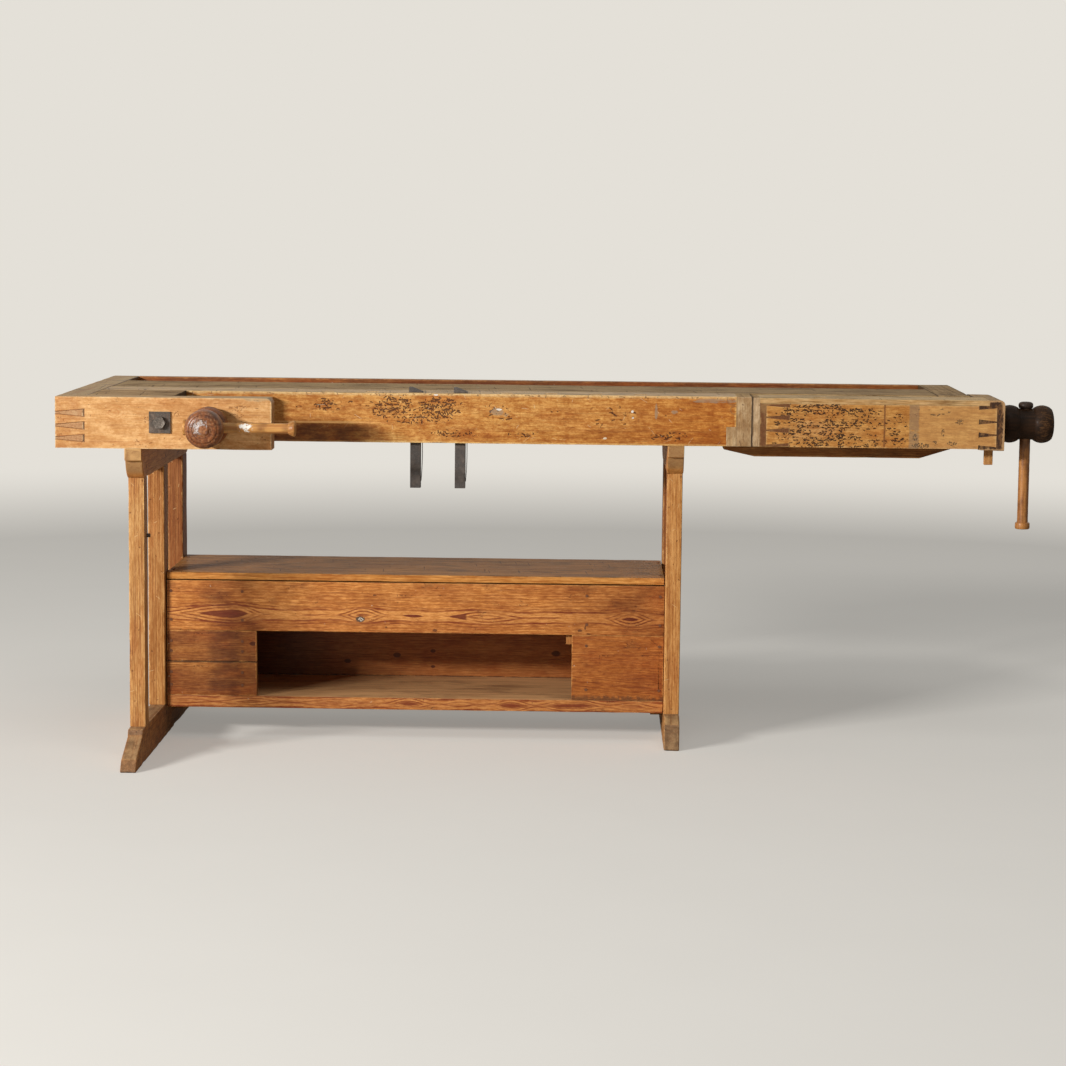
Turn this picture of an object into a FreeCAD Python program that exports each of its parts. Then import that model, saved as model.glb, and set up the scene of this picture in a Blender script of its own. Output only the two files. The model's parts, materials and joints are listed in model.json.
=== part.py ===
import FreeCAD, Part

import os

import Sketcher
from FreeCAD import Rotation, Vector

# A joiner's workbench with two wooden-screw vises, in millimetres.
# Bench coordinates: X runs along the bench from its left end, Y runs back from the
# front face of the vise arm, Z runs up from the floor. Every piece is then shifted so
# that the origin is the middle of the whole bench's outline on the floor.

sizes = {
    # the top
    "benchHeight": (850.0, "floor to the working surface"),
    "beamHeight": (118.0, "height of the front beam, rails and ends"),
    "beamWidth": (118.0, "front beam, front to back"),
    "beamEnd": (1601.0, "left end of the bench to the beam's jaw end"),
    "slabWidth": (235.0, "slab behind the beam, front to back"),
    "slabThick": (60.0, "slab thickness"),
    "trayWidth": (160.0, "tool tray, front to back"),
    "trayBoardThick": (16.0, "tray floor board"),
    "trayLap": (20.0, "tray board under the slab"),
    "trayGroove": (8.0, "tray board into the rear rail"),
    "railThick": (30.0, "rear rail"),
    "leftEndThick": (66.0, "left end board, along the bench"),
    "rightCapStart": (2050.0, "left end of the bench to the right end cap"),
    "rightCapThick": (80.0, "right end cap, along the bench"),
    "facingTopLength": (37.0, "hardwood end of the beam, upper step"),
    "facingLowLength": (60.0, "hardwood end of the beam, lower step"),
    "facingStep": (46.0, "height of the lower step above the beam's underside"),
    # front vise
    "armThick": (58.0, "vise arm, front to back"),
    "armReach": (140.0, "vise arm past the front screw's axis"),
    "armCorner": (14.0, "rounded upper corner of the arm's free end"),
    "shoulderEnd": (265.0, "left end of the bench to the shoulder block's right face"),
    "screwOffset": (90.0, "front screw's axis from the shoulder block"),
    "screwDrop": (63.0, "both screws' axes below the working surface"),
    "frontShaftRadius": (25.0, "front screw's threaded shaft"),
    "frontBulbRadius": (44.0, "front screw's outer bulb"),
    "frontBarRadius": (12.0, "front tommy bar"),
    "frontBarLength": (255.0, "front tommy bar over its knobs"),
    "frontKnobRadius": (18.0, "knobs of the front tommy bar"),
    "frontTravel": (145.0, "opening of the front vise"),
    "jawSpare": (3.0, "garter plate clear of the arm with the vise fully open"),
    "jawThick": (32.0, "front jaw board"),
    "jawLeftGap": (2.0, "jaw board beside the shoulder block"),
    "jawReach": (115.0, "jaw board past the front screw's axis"),
    "jawHeight": (102.0, "jaw board height"),
    "jawLift": (4.0, "jaw board's lower edge above the beam's underside"),
    "jawRest": (1.0, "gap between the jaw board and the beam when closed"),
    "tongueReach": (12.0, "jaw board's guide tongue"),
    "tongueHeight": (18.0, "height of that tongue"),
    "tongueDrop": (57.0, "tongue's lower face below the working surface, less its height"),
    "noseRadius": (21.0, "head on the front screw's nose"),
    "noseDepth": (18.0, "nose inside the jaw board"),
    "neckRadius": (17.0, "groove behind the nose"),
    "garterThick": (8.0, "garter plate"),
    "garterWidth": (84.0, "garter plate, along the bench"),
    "garterHeight": (78.0, "both halves of the garter plate"),
    # hubs of both screws
    "beadLength": (42.0, "inner bead of a hub"),
    "beadRadius": (45.0, "inner bead at its fullest"),
    "beadSwell": (5.0, "swell of the bead between its ends"),
    "hubEase": (2.0, "slope from a bead or bulb down to the waist"),
    "waistLength": (37.0, "waist that the tommy bar passes through"),
    "waistRadius": (37.0, "that waist"),
    "bulbLength": (48.0, "outer bulb of a hub"),
    "bulbSwell": (6.0, "swell of the bulb"),
    "capRadius": (28.0, "first turned ring on a hub's end"),
    "ringDepth": (1.5, "depth of the grooves between rings"),
    "ringWidth": (2.0, "width of those grooves"),
    "centreRadius": (15.0, "middle disc of a hub's end"),
    "hubGap": (1.0, "hub clear of the wood behind it"),
    # bars
    "knobThick": (16.0, "thickness of a tommy bar's knob"),
    "knobEase": (2.0, "rounding of its edges"),
    # tail vise
    "visePlay": (0.5, "closed tail vise clear of the beam's end"),
    "viseBackGap": (2.0, "tail vise clear of the slab's edge"),
    "viseDrop": (2.0, "tail vise's top below the bench's top"),
    "tailFacingThick": (17.5, "facing of the tail vise's jaw"),
    "jawBlockLength": (71.0, "tail vise's jaw block, along the bench"),
    "leftLap": (15.5, "jaw block in front of its dovetails"),
    "boardThick": (50.0, "tail vise's front board, front to back"),
    "endBlockGap": (4.0, "end block clear of the end cap"),
    "endBlockThick": (61.0, "end block, along the bench"),
    "endBlockDepth": (220.0, "end block, front to back"),
    "endBlockCorner": (12.0, "worn upper edge of the end block"),
    "endBlockDrop": (3.0, "end block's underside below the beam's"),
    "rightTail": (42.0, "length of the right dovetails"),
    "lidThick": (13.0, "tail vise's top board"),
    "lidLap": (24.5, "top board let into the end block"),
    "runnerWidth": (20.0, "lower runner between the blocks"),
    "runnerHeight": (20.0, "lower runner's height"),
    "tailTravel": (160.0, "opening of the tail vise"),
    "tailScrewInset": (31.0, "tail screw's axis ahead of the beam's back"),
    "tailShaftRadius": (22.5, "tail screw's threaded shaft"),
    "shaftSpare": (30.0, "tail screw past its nut block with the vise fully open"),
    "tailBulbRadius": (45.0, "tail screw's outer bulb"),
    "tailBarRadius": (13.0, "tail tommy bar"),
    "tailBarLength": (305.0, "tail tommy bar over its knobs"),
    "tailKnobRadius": (17.5, "knobs of the tail tommy bar"),
    "keyStart": (23.0, "garter key from the end block's inner face"),
    "keyWidth": (21.0, "garter key, along the bench"),
    "keyThick": (11.7, "garter key, front to back"),
    "keyReach": (39.0, "garter key below the end block"),
    "keyRise": (93.0, "garter key inside the end block"),
    "keyNeckRadius": (14.0, "screw's neck beside the garter key"),
    "nutDepth": (65.0, "nut block ahead of the beam's back"),
    "nutLow": (24.0, "nut block's underside above the beam's"),
    "nutHeight": (76.0, "nut block height"),
    "nutTenon": (30.0, "nut block's tenon into the end cap"),
    "guideWidth": (15.0, "guide strip on the slab's edge"),
    "guideHeight": (14.0, "that strip's height"),
    "guideDrop": (20.0, "its top below the working surface"),
    "sledLap": (62.0, "lower guide rail under the beam"),
    "sledCapLap": (30.0, "lower guide rail under the end cap"),
    "sledInset": (35.0, "lower guide rail ahead of the beam's back"),
    "sledWidth": (60.0, "lower guide rail, front to back"),
    "sledThick": (30.0, "lower guide rail's thickness"),
    "sledBevel": (74.0, "length of its bevelled ends"),
    "sledStep": (14.0, "square part of its left end"),
    "sledNose": (7.0, "square part of its right end"),
    # dog holes and dogs
    "dogLeft": (793.5, "left end of the bench to the left dog's shank"),
    "dogPitch": (106.0, "spacing of the dog holes"),
    "dogWidth": (25.0, "dog shank, along the bench"),
    "dogThick": (18.0, "dog shank, front to back"),
    "dogInset": (21.0, "dog shank behind the beam's face"),
    "dogHang": (109.0, "dog's foot below the beam's underside"),
    "dogHeadHeight": (12.5, "dog's head above the working surface"),
    "dogHeadOver": (3.5, "dog's head over its shank on the left"),
    "dogHeadTail": (5.0, "dog's head over its shank on the right"),
    "dogHeadThick": (22.0, "dog's head, front to back"),
    "dogLip": (7.0, "flat tip of the dog's head"),
    "dogHoleFit": (0.5, "dog hole around a dog"),
    "springRoom": (4.5, "dog hole beside a dog's spring"),
    "springThick": (1.2, "leaf spring of a dog"),
    "springBow": (3.0, "bow of that spring"),
    "springLength": (140.0, "length of that spring"),
    "springFoot": (16.0, "spring's lower end above the dog's foot"),
    "springInset": (3.0, "spring narrower than its dog, per side"),
    "dogHeadEdge": (2.0, "low edge of a dog's head"),
    # bolts
    "boltRadius": (8.0, "bolts of the top"),
    "boltHoleRadius": (8.5, "holes for them"),
    "boltHeadRadius": (14.5, "corner radius of a bolt head"),
    "boltHeadHeight": (11.0, "bolt head"),
    "nutSize": (26.0, "square nut"),
    "nutThick": (13.0, "its thickness"),
    "nutPocket": (1.5, "nut mortise around a nut"),
    "shoulderBoltInset": (25.0, "bolt through the arm from the shoulder block's right face"),
    "boltDrop": (57.0, "that bolt below the working surface"),
    "boltReach": (92.0, "that bolt into the beam"),
    "washerWidth": (49.0, "square washer"),
    "washerThick": (4.0, "its thickness"),
    "boltSpare": (2.0, "bolt past its nut, and hole past its bolt"),
    "endBoltLength": (130.0, "shank of an end bolt"),
    "counterbore": (16.0, "depth of an end bolt's recess"),
    "counterboreRadius": (18.0, "radius of that recess"),
    "leftBoltDrop": (78.0, "left end bolt below the working surface"),
    "rightBoltInset": (65.0, "first right end bolt behind the beam's back"),
    "rightBoltSpacing": (130.0, "between the right end bolts"),
    # trestles
    "trestleLeft": (158.0, "left end of the bench to the left trestle"),
    "trestleRight": (1404.0, "left end of the bench to the right trestle"),
    "trestleThick": (39.0, "caps, along the bench"),
    "leftPostThick": (36.0, "left foot and left front post, along the bench"),
    "innerPostThick": (40.0, "left middle and rear posts, along the bench"),
    "rightPostThick": (37.0, "right foot and right posts, along the bench"),
    "postDepth": (63.0, "posts, front to back"),
    "rearPostDepth": (70.0, "rear posts, front to back"),
    "slimPostDepth": (50.0, "left front post, front to back"),
    "leftFrontPost": (44.0, "left front post behind the arm's face"),
    "leftMiddlePost": (331.0, "left middle post behind the arm's face"),
    "rightFrontPost": (300.0, "right front post behind the arm's face"),
    "rearPostInset": (156.0, "rear posts' front face ahead of the bench's back"),
    "footHeight": (80.0, "foot at the posts"),
    "footNose": (28.0, "height of a foot's low end"),
    "noseRun": (20.0, "slant of the left foot's front end"),
    "noseEdge": (5.0, "square edge below that slant"),
    "leftLip": (32.0, "flat of the left foot ahead of its front post"),
    "lipStep": (16.0, "drop at the end of that flat"),
    "lipSlant": (5.0, "slant of that drop"),
    "rightNose": (63.0, "height of the right foot's front end"),
    "rightLip": (24.0, "flat of the right foot ahead of its front post"),
    "leftToe": (100.0, "left foot ahead of the arm's face"),
    "rightToe": (246.0, "right foot's end behind the arm's face"),
    "footLip": (6.0, "flat of the feet behind their rear posts"),
    "capHeight": (71.0, "cap under the top"),
    "capNose": (28.0, "square end of a cap"),
    "capStep": (12.0, "step under that end"),
    "capSwell": (7.0, "swell of the cap's underside"),
    "rightCapFront": (250.0, "right cap's front end behind the arm's face"),
    "tenonThick": (13.0, "post tenons, along the bench"),
    "tenonInset": (9.0, "post tenons from the post's front and back"),
    "tenonLength": (45.0, "post tenons"),
    "drawPegRadius": (5.0, "pegs through the tenons"),
    "drawPegInset": (24.0, "pegs from the posts' shoulders"),
    "topPegRadius": (8.0, "pegs between trestles and top"),
    "topPegLength": (50.0, "length of those pegs"),
    "pegFit": (0.25, "peg hole around a top peg"),
    "studRadius": (4.5, "iron stud in the left front post"),
    "studHeadRadius": (8.0, "its head"),
    "studHeadThick": (4.0, "its head's thickness"),
    "studHeight": (524.0, "its height above the floor"),
    "studSetback": (36.0, "stud behind the post's front"),
    "studProud": (8.0, "stud beyond the post"),
    # tool box between the trestles
    "boxLeftGap": (2.5, "tool box clear of the left posts"),
    "boxRightGap": (1.0, "tool box clear of the right posts"),
    "boxSetback": (15.0, "tool box behind the left middle post's face"),
    "boxDepth": (334.0, "tool box, front to back"),
    "boxBottom": (73.0, "underside of the tool box above the floor"),
    "boxFloorThick": (29.5, "tool box floor"),
    "boxBoard": (20.0, "tool box boards"),
    "boxHeight": (313.5, "tool box without its lid"),
    "frontTopGap": (2.5, "gap between the front board and the lid"),
    "boxLidThick": (17.0, "lid board"),
    "boxLidOver": (10.0, "lid past the back"),
    "boxLidShort": (1.0, "lid short of the box's right end"),
    "leftPanelWidth": (218.0, "front panels left of the opening"),
    "rightPanelWidth": (222.0, "front panel right of the opening"),
    "openingHeight": (159.5, "opening above the box's floor"),
    "lowerPanelHeight": (83.0, "lower left panel"),
    "battenWidth": (30.0, "battens behind the front boards"),
    "battenInset": (20.0, "battens from the opening"),
    "cleatWidth": (14.0, "cleat in the opening's corner"),
    "cleatHeight": (26.0, "that cleat's height"),
    "cleatDepth": (20.0, "that cleat, front to back"),
    "bearerSize": (28.0, "bearers on the feet, wide and high"),
    "bearerInset": (134.0, "bearers behind the tool box's front"),
    "bearerBoltRadius": (4.0, "bolts through feet and bearers"),
    "bearerHoleRadius": (4.3, "holes for them"),
    "bearerNutSize": (14.0, "their square nuts and heads"),
    "bearerNutThick": (6.0, "thickness of those"),
    "bearerBoltInset": (40.0, "those bolts from the bearer's front and the rear post"),
    "nailRadius": (1.6, "nails of the tool box"),
    "nailLength": (38.0, "their length"),
    "nailHeadRadius": (3.5, "their heads"),
    "nailHeadThick": (1.2, "their heads' thickness"),
    "nailInset": (26.0, "nails from the edges of a board"),
    "garterScrewInset": (9.0, "garter screws from the plate's edges"),
    # fits
    "runningFit": (0.05, "turning wood in its bore, per side"),
    "slideFit": (0.3, "sliding wood on its guide, per side"),
}


class Size:
    """A length that carries its value and the sheet expression behind it."""

    def __init__(self, value, text):
        self.value = float(value)
        self.text = text

    def combine(self, other, sign, swap=False):
        other = other if isinstance(other, Size) else Size(other, repr(float(other)))
        first, second = (other, self) if swap else (self, other)
        a, b = first.value, second.value
        value = {"+": lambda: a + b, "-": lambda: a - b, "*": lambda: a * b, "/": lambda: a / b}[sign]()
        return Size(value, f"({first.text} {sign} {second.text})")

    def __add__(self, other):
        return self.combine(other, "+")

    def __radd__(self, other):
        return self.combine(other, "+", swap=True)

    def __sub__(self, other):
        return self.combine(other, "-")

    def __rsub__(self, other):
        return self.combine(other, "-", swap=True)

    def __mul__(self, other):
        return self.combine(other, "*")

    def __rmul__(self, other):
        return self.combine(other, "*", swap=True)

    def __truediv__(self, other):
        return self.combine(other, "/")

    def __neg__(self):
        return self.combine(-1, "*")


class Dimensions:
    """The spreadsheet's cells as attributes, such as d.benchHeight."""

    def __init__(self, sheet):
        for row, (name, (value, note)) in enumerate(sizes.items(), start=1):
            sheet.set(f"A{row}", name)
            sheet.set(f"B{row}", str(value))
            sheet.set(f"C{row}", note)
            sheet.setAlias(f"B{row}", name)
            setattr(self, name, Size(value, f"dims.{name}"))


doc = FreeCAD.newDocument("workbench")
sheet = doc.addObject("Spreadsheet::Sheet", "dims")
d = Dimensions(sheet)
doc.recompute()
zero = Size(0, "0")
subParts = []

# places that several pieces share
top = d.benchHeight
underside = d.benchHeight - d.beamHeight
beamFront = d.armThick + d.frontTravel + d.jawSpare + d.garterThick + d.jawThick + d.jawRest
beamBack = beamFront + d.beamWidth
slabBack = beamBack + d.slabWidth
railFront = slabBack + d.trayWidth
benchBack = railFront + d.railThick
slabBottom = top - d.slabThick
rightCapEnd = d.rightCapStart + d.rightCapThick
viseBack = beamBack - d.viseBackGap
viseTop = top - d.viseDrop
viseBottom = underside + d.slideFit
lidBottom = viseTop - d.lidThick
tailStart = d.beamEnd + d.visePlay
jawBlockStart = tailStart + d.tailFacingThick
jawBlockEnd = jawBlockStart + d.jawBlockLength
endBlockStart = rightCapEnd + d.endBlockGap
endBlockEnd = endBlockStart + d.endBlockThick
tailShaftStart = d.rightCapStart - d.shaftSpare - d.tailTravel
frontScrewX = d.shoulderEnd + d.screwOffset
armEnd = frontScrewX + d.armReach
shoulderBoltX = d.shoulderEnd - d.shoulderBoltInset
screwHeight = top - d.screwDrop
boltHeight = top - d.boltDrop
leftBoltHeight = top - d.leftBoltDrop
tailScrewY = beamBack - d.tailScrewInset
boxStart = d.trestleLeft + d.trestleThick / 2 + d.innerPostThick / 2 + d.boxLeftGap
boxEnd = d.trestleRight + d.trestleThick / 2 - d.rightPostThick / 2 - d.boxRightGap
boxFront = d.leftMiddlePost + d.boxSetback
openingLeft = boxStart + d.leftPanelWidth
openingRight = boxEnd - d.rightPanelWidth
openingTop = d.boxBottom + d.boxFloorThick + d.openingHeight
panelSeam = d.boxBottom + d.boxFloorThick + d.lowerPanelHeight
hubLength = d.hubGap + d.beadLength + d.waistLength + d.bulbLength
originX = (endBlockEnd + hubLength) / 2
originY = (benchBack - hubLength) / 2


def bind(thing, prop, size):
    thing.setExpression(prop, size.text)


def bench(thing, x=zero, y=zero, z=zero):
    """Put a thing's own origin at bench coordinates x, y, z."""
    bind(thing, "Placement.Base.x", x - originX)
    bind(thing, "Placement.Base.y", y - originY)
    bind(thing, "Placement.Base.z", z + 0)
    return thing


def keep(thing, name):
    """Name a finished sub-part, which gets a file of its own."""
    thing.Label = name
    subParts.append(thing)
    return thing


def block(name, x, y, z):
    """A squared board from its low and high coordinates."""
    box = doc.addObject("Part::Box", name)
    bind(box, "Length", x[1] - x[0])
    bind(box, "Width", y[1] - y[0])
    bind(box, "Height", z[1] - z[0])
    return bench(box, x[0], y[0], z[0])


def rod(name, axis, start, length, radius, x=zero, y=zero, z=zero):
    """A round bar or hole that starts at `start` and runs along +X, +Y or +Z."""
    turn = {"X": Rotation(Vector(0, 1, 0), 90), "Y": Rotation(Vector(1, 0, 0), -90), "Z": Rotation()}
    place = {"X": (start, y, z), "Y": (x, start, z), "Z": (x, y, start)}
    cylinder = doc.addObject("Part::Cylinder", name)
    cylinder.Placement = FreeCAD.Placement(Vector(), turn[axis])
    bind(cylinder, "Radius", radius)
    bind(cylinder, "Height", length)
    return bench(cylinder, *place[axis])


def hexagon(name, axis, start, height, x=zero, y=zero, z=zero):
    """A six-sided bolt head along +X or +Y."""
    turn = {"X": Rotation(Vector(0, 1, 0), 90), "Y": Rotation(Vector(1, 0, 0), -90)}
    place = {"X": (start, y, z), "Y": (x, start, z)}
    head = doc.addObject("Part::Prism", name)
    head.Polygon = 6
    head.Placement = FreeCAD.Placement(Vector(), turn[axis])
    bind(head, "Circumradius", d.boltHeadRadius)
    bind(head, "Height", height)
    return bench(head, *place[axis])


def cut(name, base, *tools):
    """The base with every tool taken out of it."""
    waste = tools[0]
    if len(tools) > 1:
        waste = doc.addObject("Part::MultiFuse", f"{name} waste")
        waste.Shapes = list(tools)
    result = doc.addObject("Part::Cut", name)
    result.Base = base
    result.Tool = waste
    return result


def join(name, *pieces):
    result = doc.addObject("Part::MultiFuse", name)
    result.Shapes = list(pieces)
    return result


def group(name, *pieces):
    """Separate solids that share one node."""
    result = doc.addObject("Part::Compound", name)
    result.Links = list(pieces)
    return result


def outline(body, role, corners):
    """A closed sketch on one of the body's origin planes.

    Each corner is (u, v), or (u, v, bulge) where the edge that leaves it is an arc that
    bulges by that much to the right of its direction.
    """
    sketch = body.newObject("Sketcher::SketchObject", f"{body.Name}Outline")
    plane = [item for item in body.Origin.OriginFeatures if item.Role == role][0]
    sketch.AttachmentSupport = (plane, [""])
    sketch.MapMode = "FlatFace"
    count = len(corners)
    points = [Vector(corner[0].value, corner[1].value, 0) for corner in corners]
    for index, corner in enumerate(corners):
        first, second = points[index], points[(index + 1) % count]
        if len(corner) == 3:
            along = second - first
            side = Vector(along.y, -along.x, 0).normalize()
            middle = (first + second) / 2 + side * corner[2].value
            sketch.addGeometry(Part.Arc(first, middle, second))
        else:
            sketch.addGeometry(Part.LineSegment(first, second))
    ends = []
    for index in range(count):
        start = sketch.getPoint(index, 1)
        ends.append((1, 2) if (start - points[index]).Length < 1e-4 else (2, 1))
    for index, corner in enumerate(corners):
        following = (index + 1) % count
        link = (index, ends[index][1], following, ends[following][0])
        sketch.addConstraint(Sketcher.Constraint("Coincident", *link))
        for kind, size in (("DistanceX", corner[0]), ("DistanceY", corner[1])):
            rule = Sketcher.Constraint(kind, -1, 1, index, ends[index][0], size.value)
            number = sketch.addConstraint(rule)
            bind(sketch, f"Constraints[{number}]", size)
        if len(corner) == 3:
            width = corners[following][0] - corner[0]
            height = corners[following][1] - corner[1]
            bulge = corner[2] if corner[2].value > 0 else -corner[2]
            radius = ((width * width + height * height) / 4 + bulge * bulge) / (2 * bulge)
            number = sketch.addConstraint(Sketcher.Constraint("Radius", index, radius.value))
            bind(sketch, f"Constraints[{number}]", radius)
    return sketch


def prism(name, role, corners, low, high):
    """An outline in bench coordinates, padded from low to high across its plane.

    The outline is (x, z) for XZ_Plane, (y, z) for YZ_Plane and (x, y) for XY_Plane.
    """
    body = doc.addObject("PartDesign::Body", name)
    sketch = outline(body, role, corners)
    offset = -high if role == "XZ_Plane" else low
    bind(sketch, "AttachmentOffset.Base.z", offset)
    pad = body.newObject("PartDesign::Pad", f"{name}Pad")
    pad.Profile = sketch
    bind(pad, "Length", high - low)
    return bench(body)


def turned(name, turn, corners, x, y, z):
    """A lathe piece about its own X axis, then turned and placed.

    Its corners are (length, radius), or (length, radius, swell) before a rounded stretch.
    """
    body = doc.addObject("PartDesign::Body", name)
    profile = [corner[:2] + tuple(-swell for swell in corner[2:]) for corner in corners]
    sketch = outline(body, "XY_Plane", profile)
    spin = body.newObject("PartDesign::Revolution", f"{name}Spin")
    spin.Profile = sketch
    spin.ReferenceAxis = (sketch, ["H_Axis"])
    spin.Angle = 360
    body.Placement = FreeCAD.Placement(Vector(), turn)
    return bench(body, x, y, z)


def rounded(radius):
    """Bulge of a quarter circle of this radius."""
    return radius * 0.29289


# ---------------------------------------------------------------- dovetails
def pinShapes(name, outer, inner, centres, outerWidth, innerWidth, low, high):
    """Dovetail pins seen from the front: narrow at the outer end, wide at the inner end."""
    pins = []
    for number, centre in enumerate(centres, start=1):
        corners = [
            (outer, centre - outerWidth / 2),
            (inner, centre - innerWidth / 2),
            (inner, centre + innerWidth / 2),
            (outer, centre + outerWidth / 2),
        ]
        pins.append(prism(f"{name}Pin{number}", "XZ_Plane", corners, low, high))
    return pins


# ---------------------------------------------------------------- bolts of the top
def nutSolid(name, axis, start, x, y, z):
    half = d.nutSize / 2
    across = {
        "X": ((start, start + d.nutThick), (y - half, y + half), (z - half, z + half)),
        "Y": ((x - half, x + half), (start, start + d.nutThick), (z - half, z + half)),
    }
    hole = rod(f"{name}Hole", axis, start, d.nutThick, d.boltRadius + d.runningFit, x, y, z)
    return cut(name, block(f"{name}Blank", *across[axis]), hole)


shoulderHead = -d.washerThick - d.boltHeadHeight
shoulderBoltEnd = beamFront + d.boltReach
shoulderNutStart = shoulderBoltEnd - d.nutThick - d.boltSpare
leftBoltY = beamFront + d.beamWidth / 2
rightBoltHeight = top - d.slabThick / 2
rightBoltYs = [beamBack + d.rightBoltInset, beamBack + d.rightBoltInset + d.rightBoltSpacing]
leftBoltReach = d.counterbore + d.endBoltLength - d.leftEndThick
leftNutStart = d.counterbore + d.endBoltLength - d.nutThick - d.boltSpare
rightBoltEnd = rightCapEnd - d.counterbore - d.endBoltLength
rightNutStart = rightBoltEnd + d.boltSpare


def shoulderBolt():
    place = {"x": shoulderBoltX, "z": boltHeight}
    shank = rod("shoulderShank", "Y", -d.washerThick, shoulderBoltEnd + d.washerThick, d.boltRadius, **place)
    head = hexagon("shoulderHead", "Y", shoulderHead, d.boltHeadHeight, **place)
    keep(join("shoulder_bolt", head, shank), "shoulder_bolt")
    half = d.washerWidth / 2
    plate = block(
        "washerBlank",
        (shoulderBoltX - half, shoulderBoltX + half),
        (-d.washerThick, zero),
        (boltHeight - half, boltHeight + half),
    )
    hole = rod("washerHole", "Y", -d.washerThick, d.washerThick, d.boltHoleRadius, **place)
    keep(cut("shoulder_washer", plate, hole), "shoulder_washer")


def endBolts():
    bolts = []
    headStart = d.counterbore - d.boltHeadHeight
    place = {"y": leftBoltY, "z": leftBoltHeight}
    head = hexagon("leftBoltHead", "X", headStart, d.boltHeadHeight, **place)
    shank = rod("leftBoltShank", "X", d.counterbore, d.endBoltLength, d.boltRadius, **place)
    bolts.append(join("leftEndBolt", head, shank))
    for number, y in enumerate(rightBoltYs, start=1):
        place = {"y": y, "z": rightBoltHeight}
        seat = rightCapEnd - d.counterbore
        head = hexagon(f"rightBoltHead{number}", "X", seat, d.boltHeadHeight, **place)
        shank = rod(f"rightBoltShank{number}", "X", rightBoltEnd, d.endBoltLength, d.boltRadius, **place)
        bolts.append(join(f"rightEndBolt{number}", head, shank))
    keep(group("end_bolts", *bolts), "end_bolts")


def squareNuts():
    nuts = [
        nutSolid("shoulderNut", "Y", shoulderNutStart, shoulderBoltX, zero, boltHeight),
        nutSolid("leftEndNut", "X", leftNutStart, zero, leftBoltY, leftBoltHeight),
    ]
    for number, y in enumerate(rightBoltYs, start=1):
        nuts.append(nutSolid(f"rightEndNut{number}", "X", rightNutStart, zero, y, rightBoltHeight))
    keep(group("square_nuts", *nuts), "square_nuts")


def nutPocket(name, x, y, z, fromBelow):
    """A mortise around a nut, open below, given the nut's centre in all three directions."""
    reach = d.nutSize / 2 + d.nutPocket
    return block(name, (x[0] - d.nutPocket, x[1] + d.nutPocket), (y[0] - d.nutPocket, y[1] + d.nutPocket),
                 (fromBelow, z + reach))


# ---------------------------------------------------------------- the top
armPins = [top - d.beamHeight * share for share in (0.3136, 0.5593, 0.8051)]
pinOuter = d.leftEndThick * 0.05
pinInner = d.leftEndThick * 0.24
tongueLow = top - d.tongueDrop - d.tongueHeight


def viseArm():
    corner = d.armCorner
    corners = [
        (zero, underside),
        (armEnd, underside),
        (armEnd, top - corner, rounded(corner)),
        (armEnd - corner, top),
        (zero, top),
    ]
    blank = prism("armBlank", "XZ_Plane", corners, zero, d.armThick)
    sockets = pinShapes("armSocket", zero, d.leftEndThick, armPins, pinOuter, pinInner, zero, d.armThick)
    bore = rod("armBore", "Y", zero, d.armThick, d.frontShaftRadius + d.runningFit,
               x=frontScrewX, z=screwHeight)
    boltHole = rod("armBoltHole", "Y", zero, d.armThick, d.boltHoleRadius, x=shoulderBoltX, z=boltHeight)
    keep(cut("vise_arm", blank, bore, boltHole, *sockets), "vise_arm")


def leftEndBoard():
    board = block("endBoardBlank", (zero, d.leftEndThick), (d.armThick, benchBack), (underside, top))
    pins = pinShapes("endBoard", zero, d.leftEndThick, armPins, pinOuter, pinInner, zero, d.armThick)
    place = {"y": leftBoltY, "z": leftBoltHeight}
    recess = rod("leftRecess", "X", zero, d.counterbore, d.counterboreRadius, **place)
    hole = rod("leftBoltHole", "X", zero, d.leftEndThick, d.boltHoleRadius, **place)
    keep(cut("left_end_board", join("endBoardWithPins", board, *pins), recess, hole), "left_end_board")


def shoulderBlock():
    blank = block("shoulderBlank", (d.leftEndThick, d.shoulderEnd), (d.armThick, beamFront), (underside, top))
    boltHole = rod("shoulderBoltHole", "Y", d.armThick, beamFront - d.armThick, d.boltHoleRadius,
                   x=shoulderBoltX, z=boltHeight)
    groove = block(
        "jawGroove",
        (d.shoulderEnd - d.tongueReach, d.shoulderEnd),
        (d.armThick, beamFront),
        (tongueLow - d.slideFit, tongueLow + d.tongueHeight + d.slideFit),
    )
    keep(cut("shoulder_block", blank, boltHole, groove), "shoulder_block")


dogFront = beamFront + d.dogInset
dogBack = dogFront + d.dogThick
freeDogHoles = (-2, -1, 2, 3, 4, 5)
dogPlaces = (0, 1)
viseDogHole = 9


def dogHole(name, place, low, high):
    """A dog hole through the wood from low to high, `place` pitches from the left dog."""
    left = d.dogLeft + d.dogPitch * place
    return block(
        name,
        (left - d.dogHoleFit, left + d.dogWidth + d.springRoom),
        (dogFront - d.dogHoleFit, dogBack + d.dogHoleFit),
        (low, high),
    )


def beamFacingShape(name):
    """The stepped hardwood end of the beam."""
    corners = [
        (d.beamEnd - d.facingLowLength, underside),
        (d.beamEnd, underside),
        (d.beamEnd, top),
        (d.beamEnd - d.facingTopLength, top),
        (d.beamEnd - d.facingTopLength, underside + d.facingStep),
        (d.beamEnd - d.facingLowLength, underside + d.facingStep),
    ]
    return prism(name, "XZ_Plane", corners, beamFront, beamBack)


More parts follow.
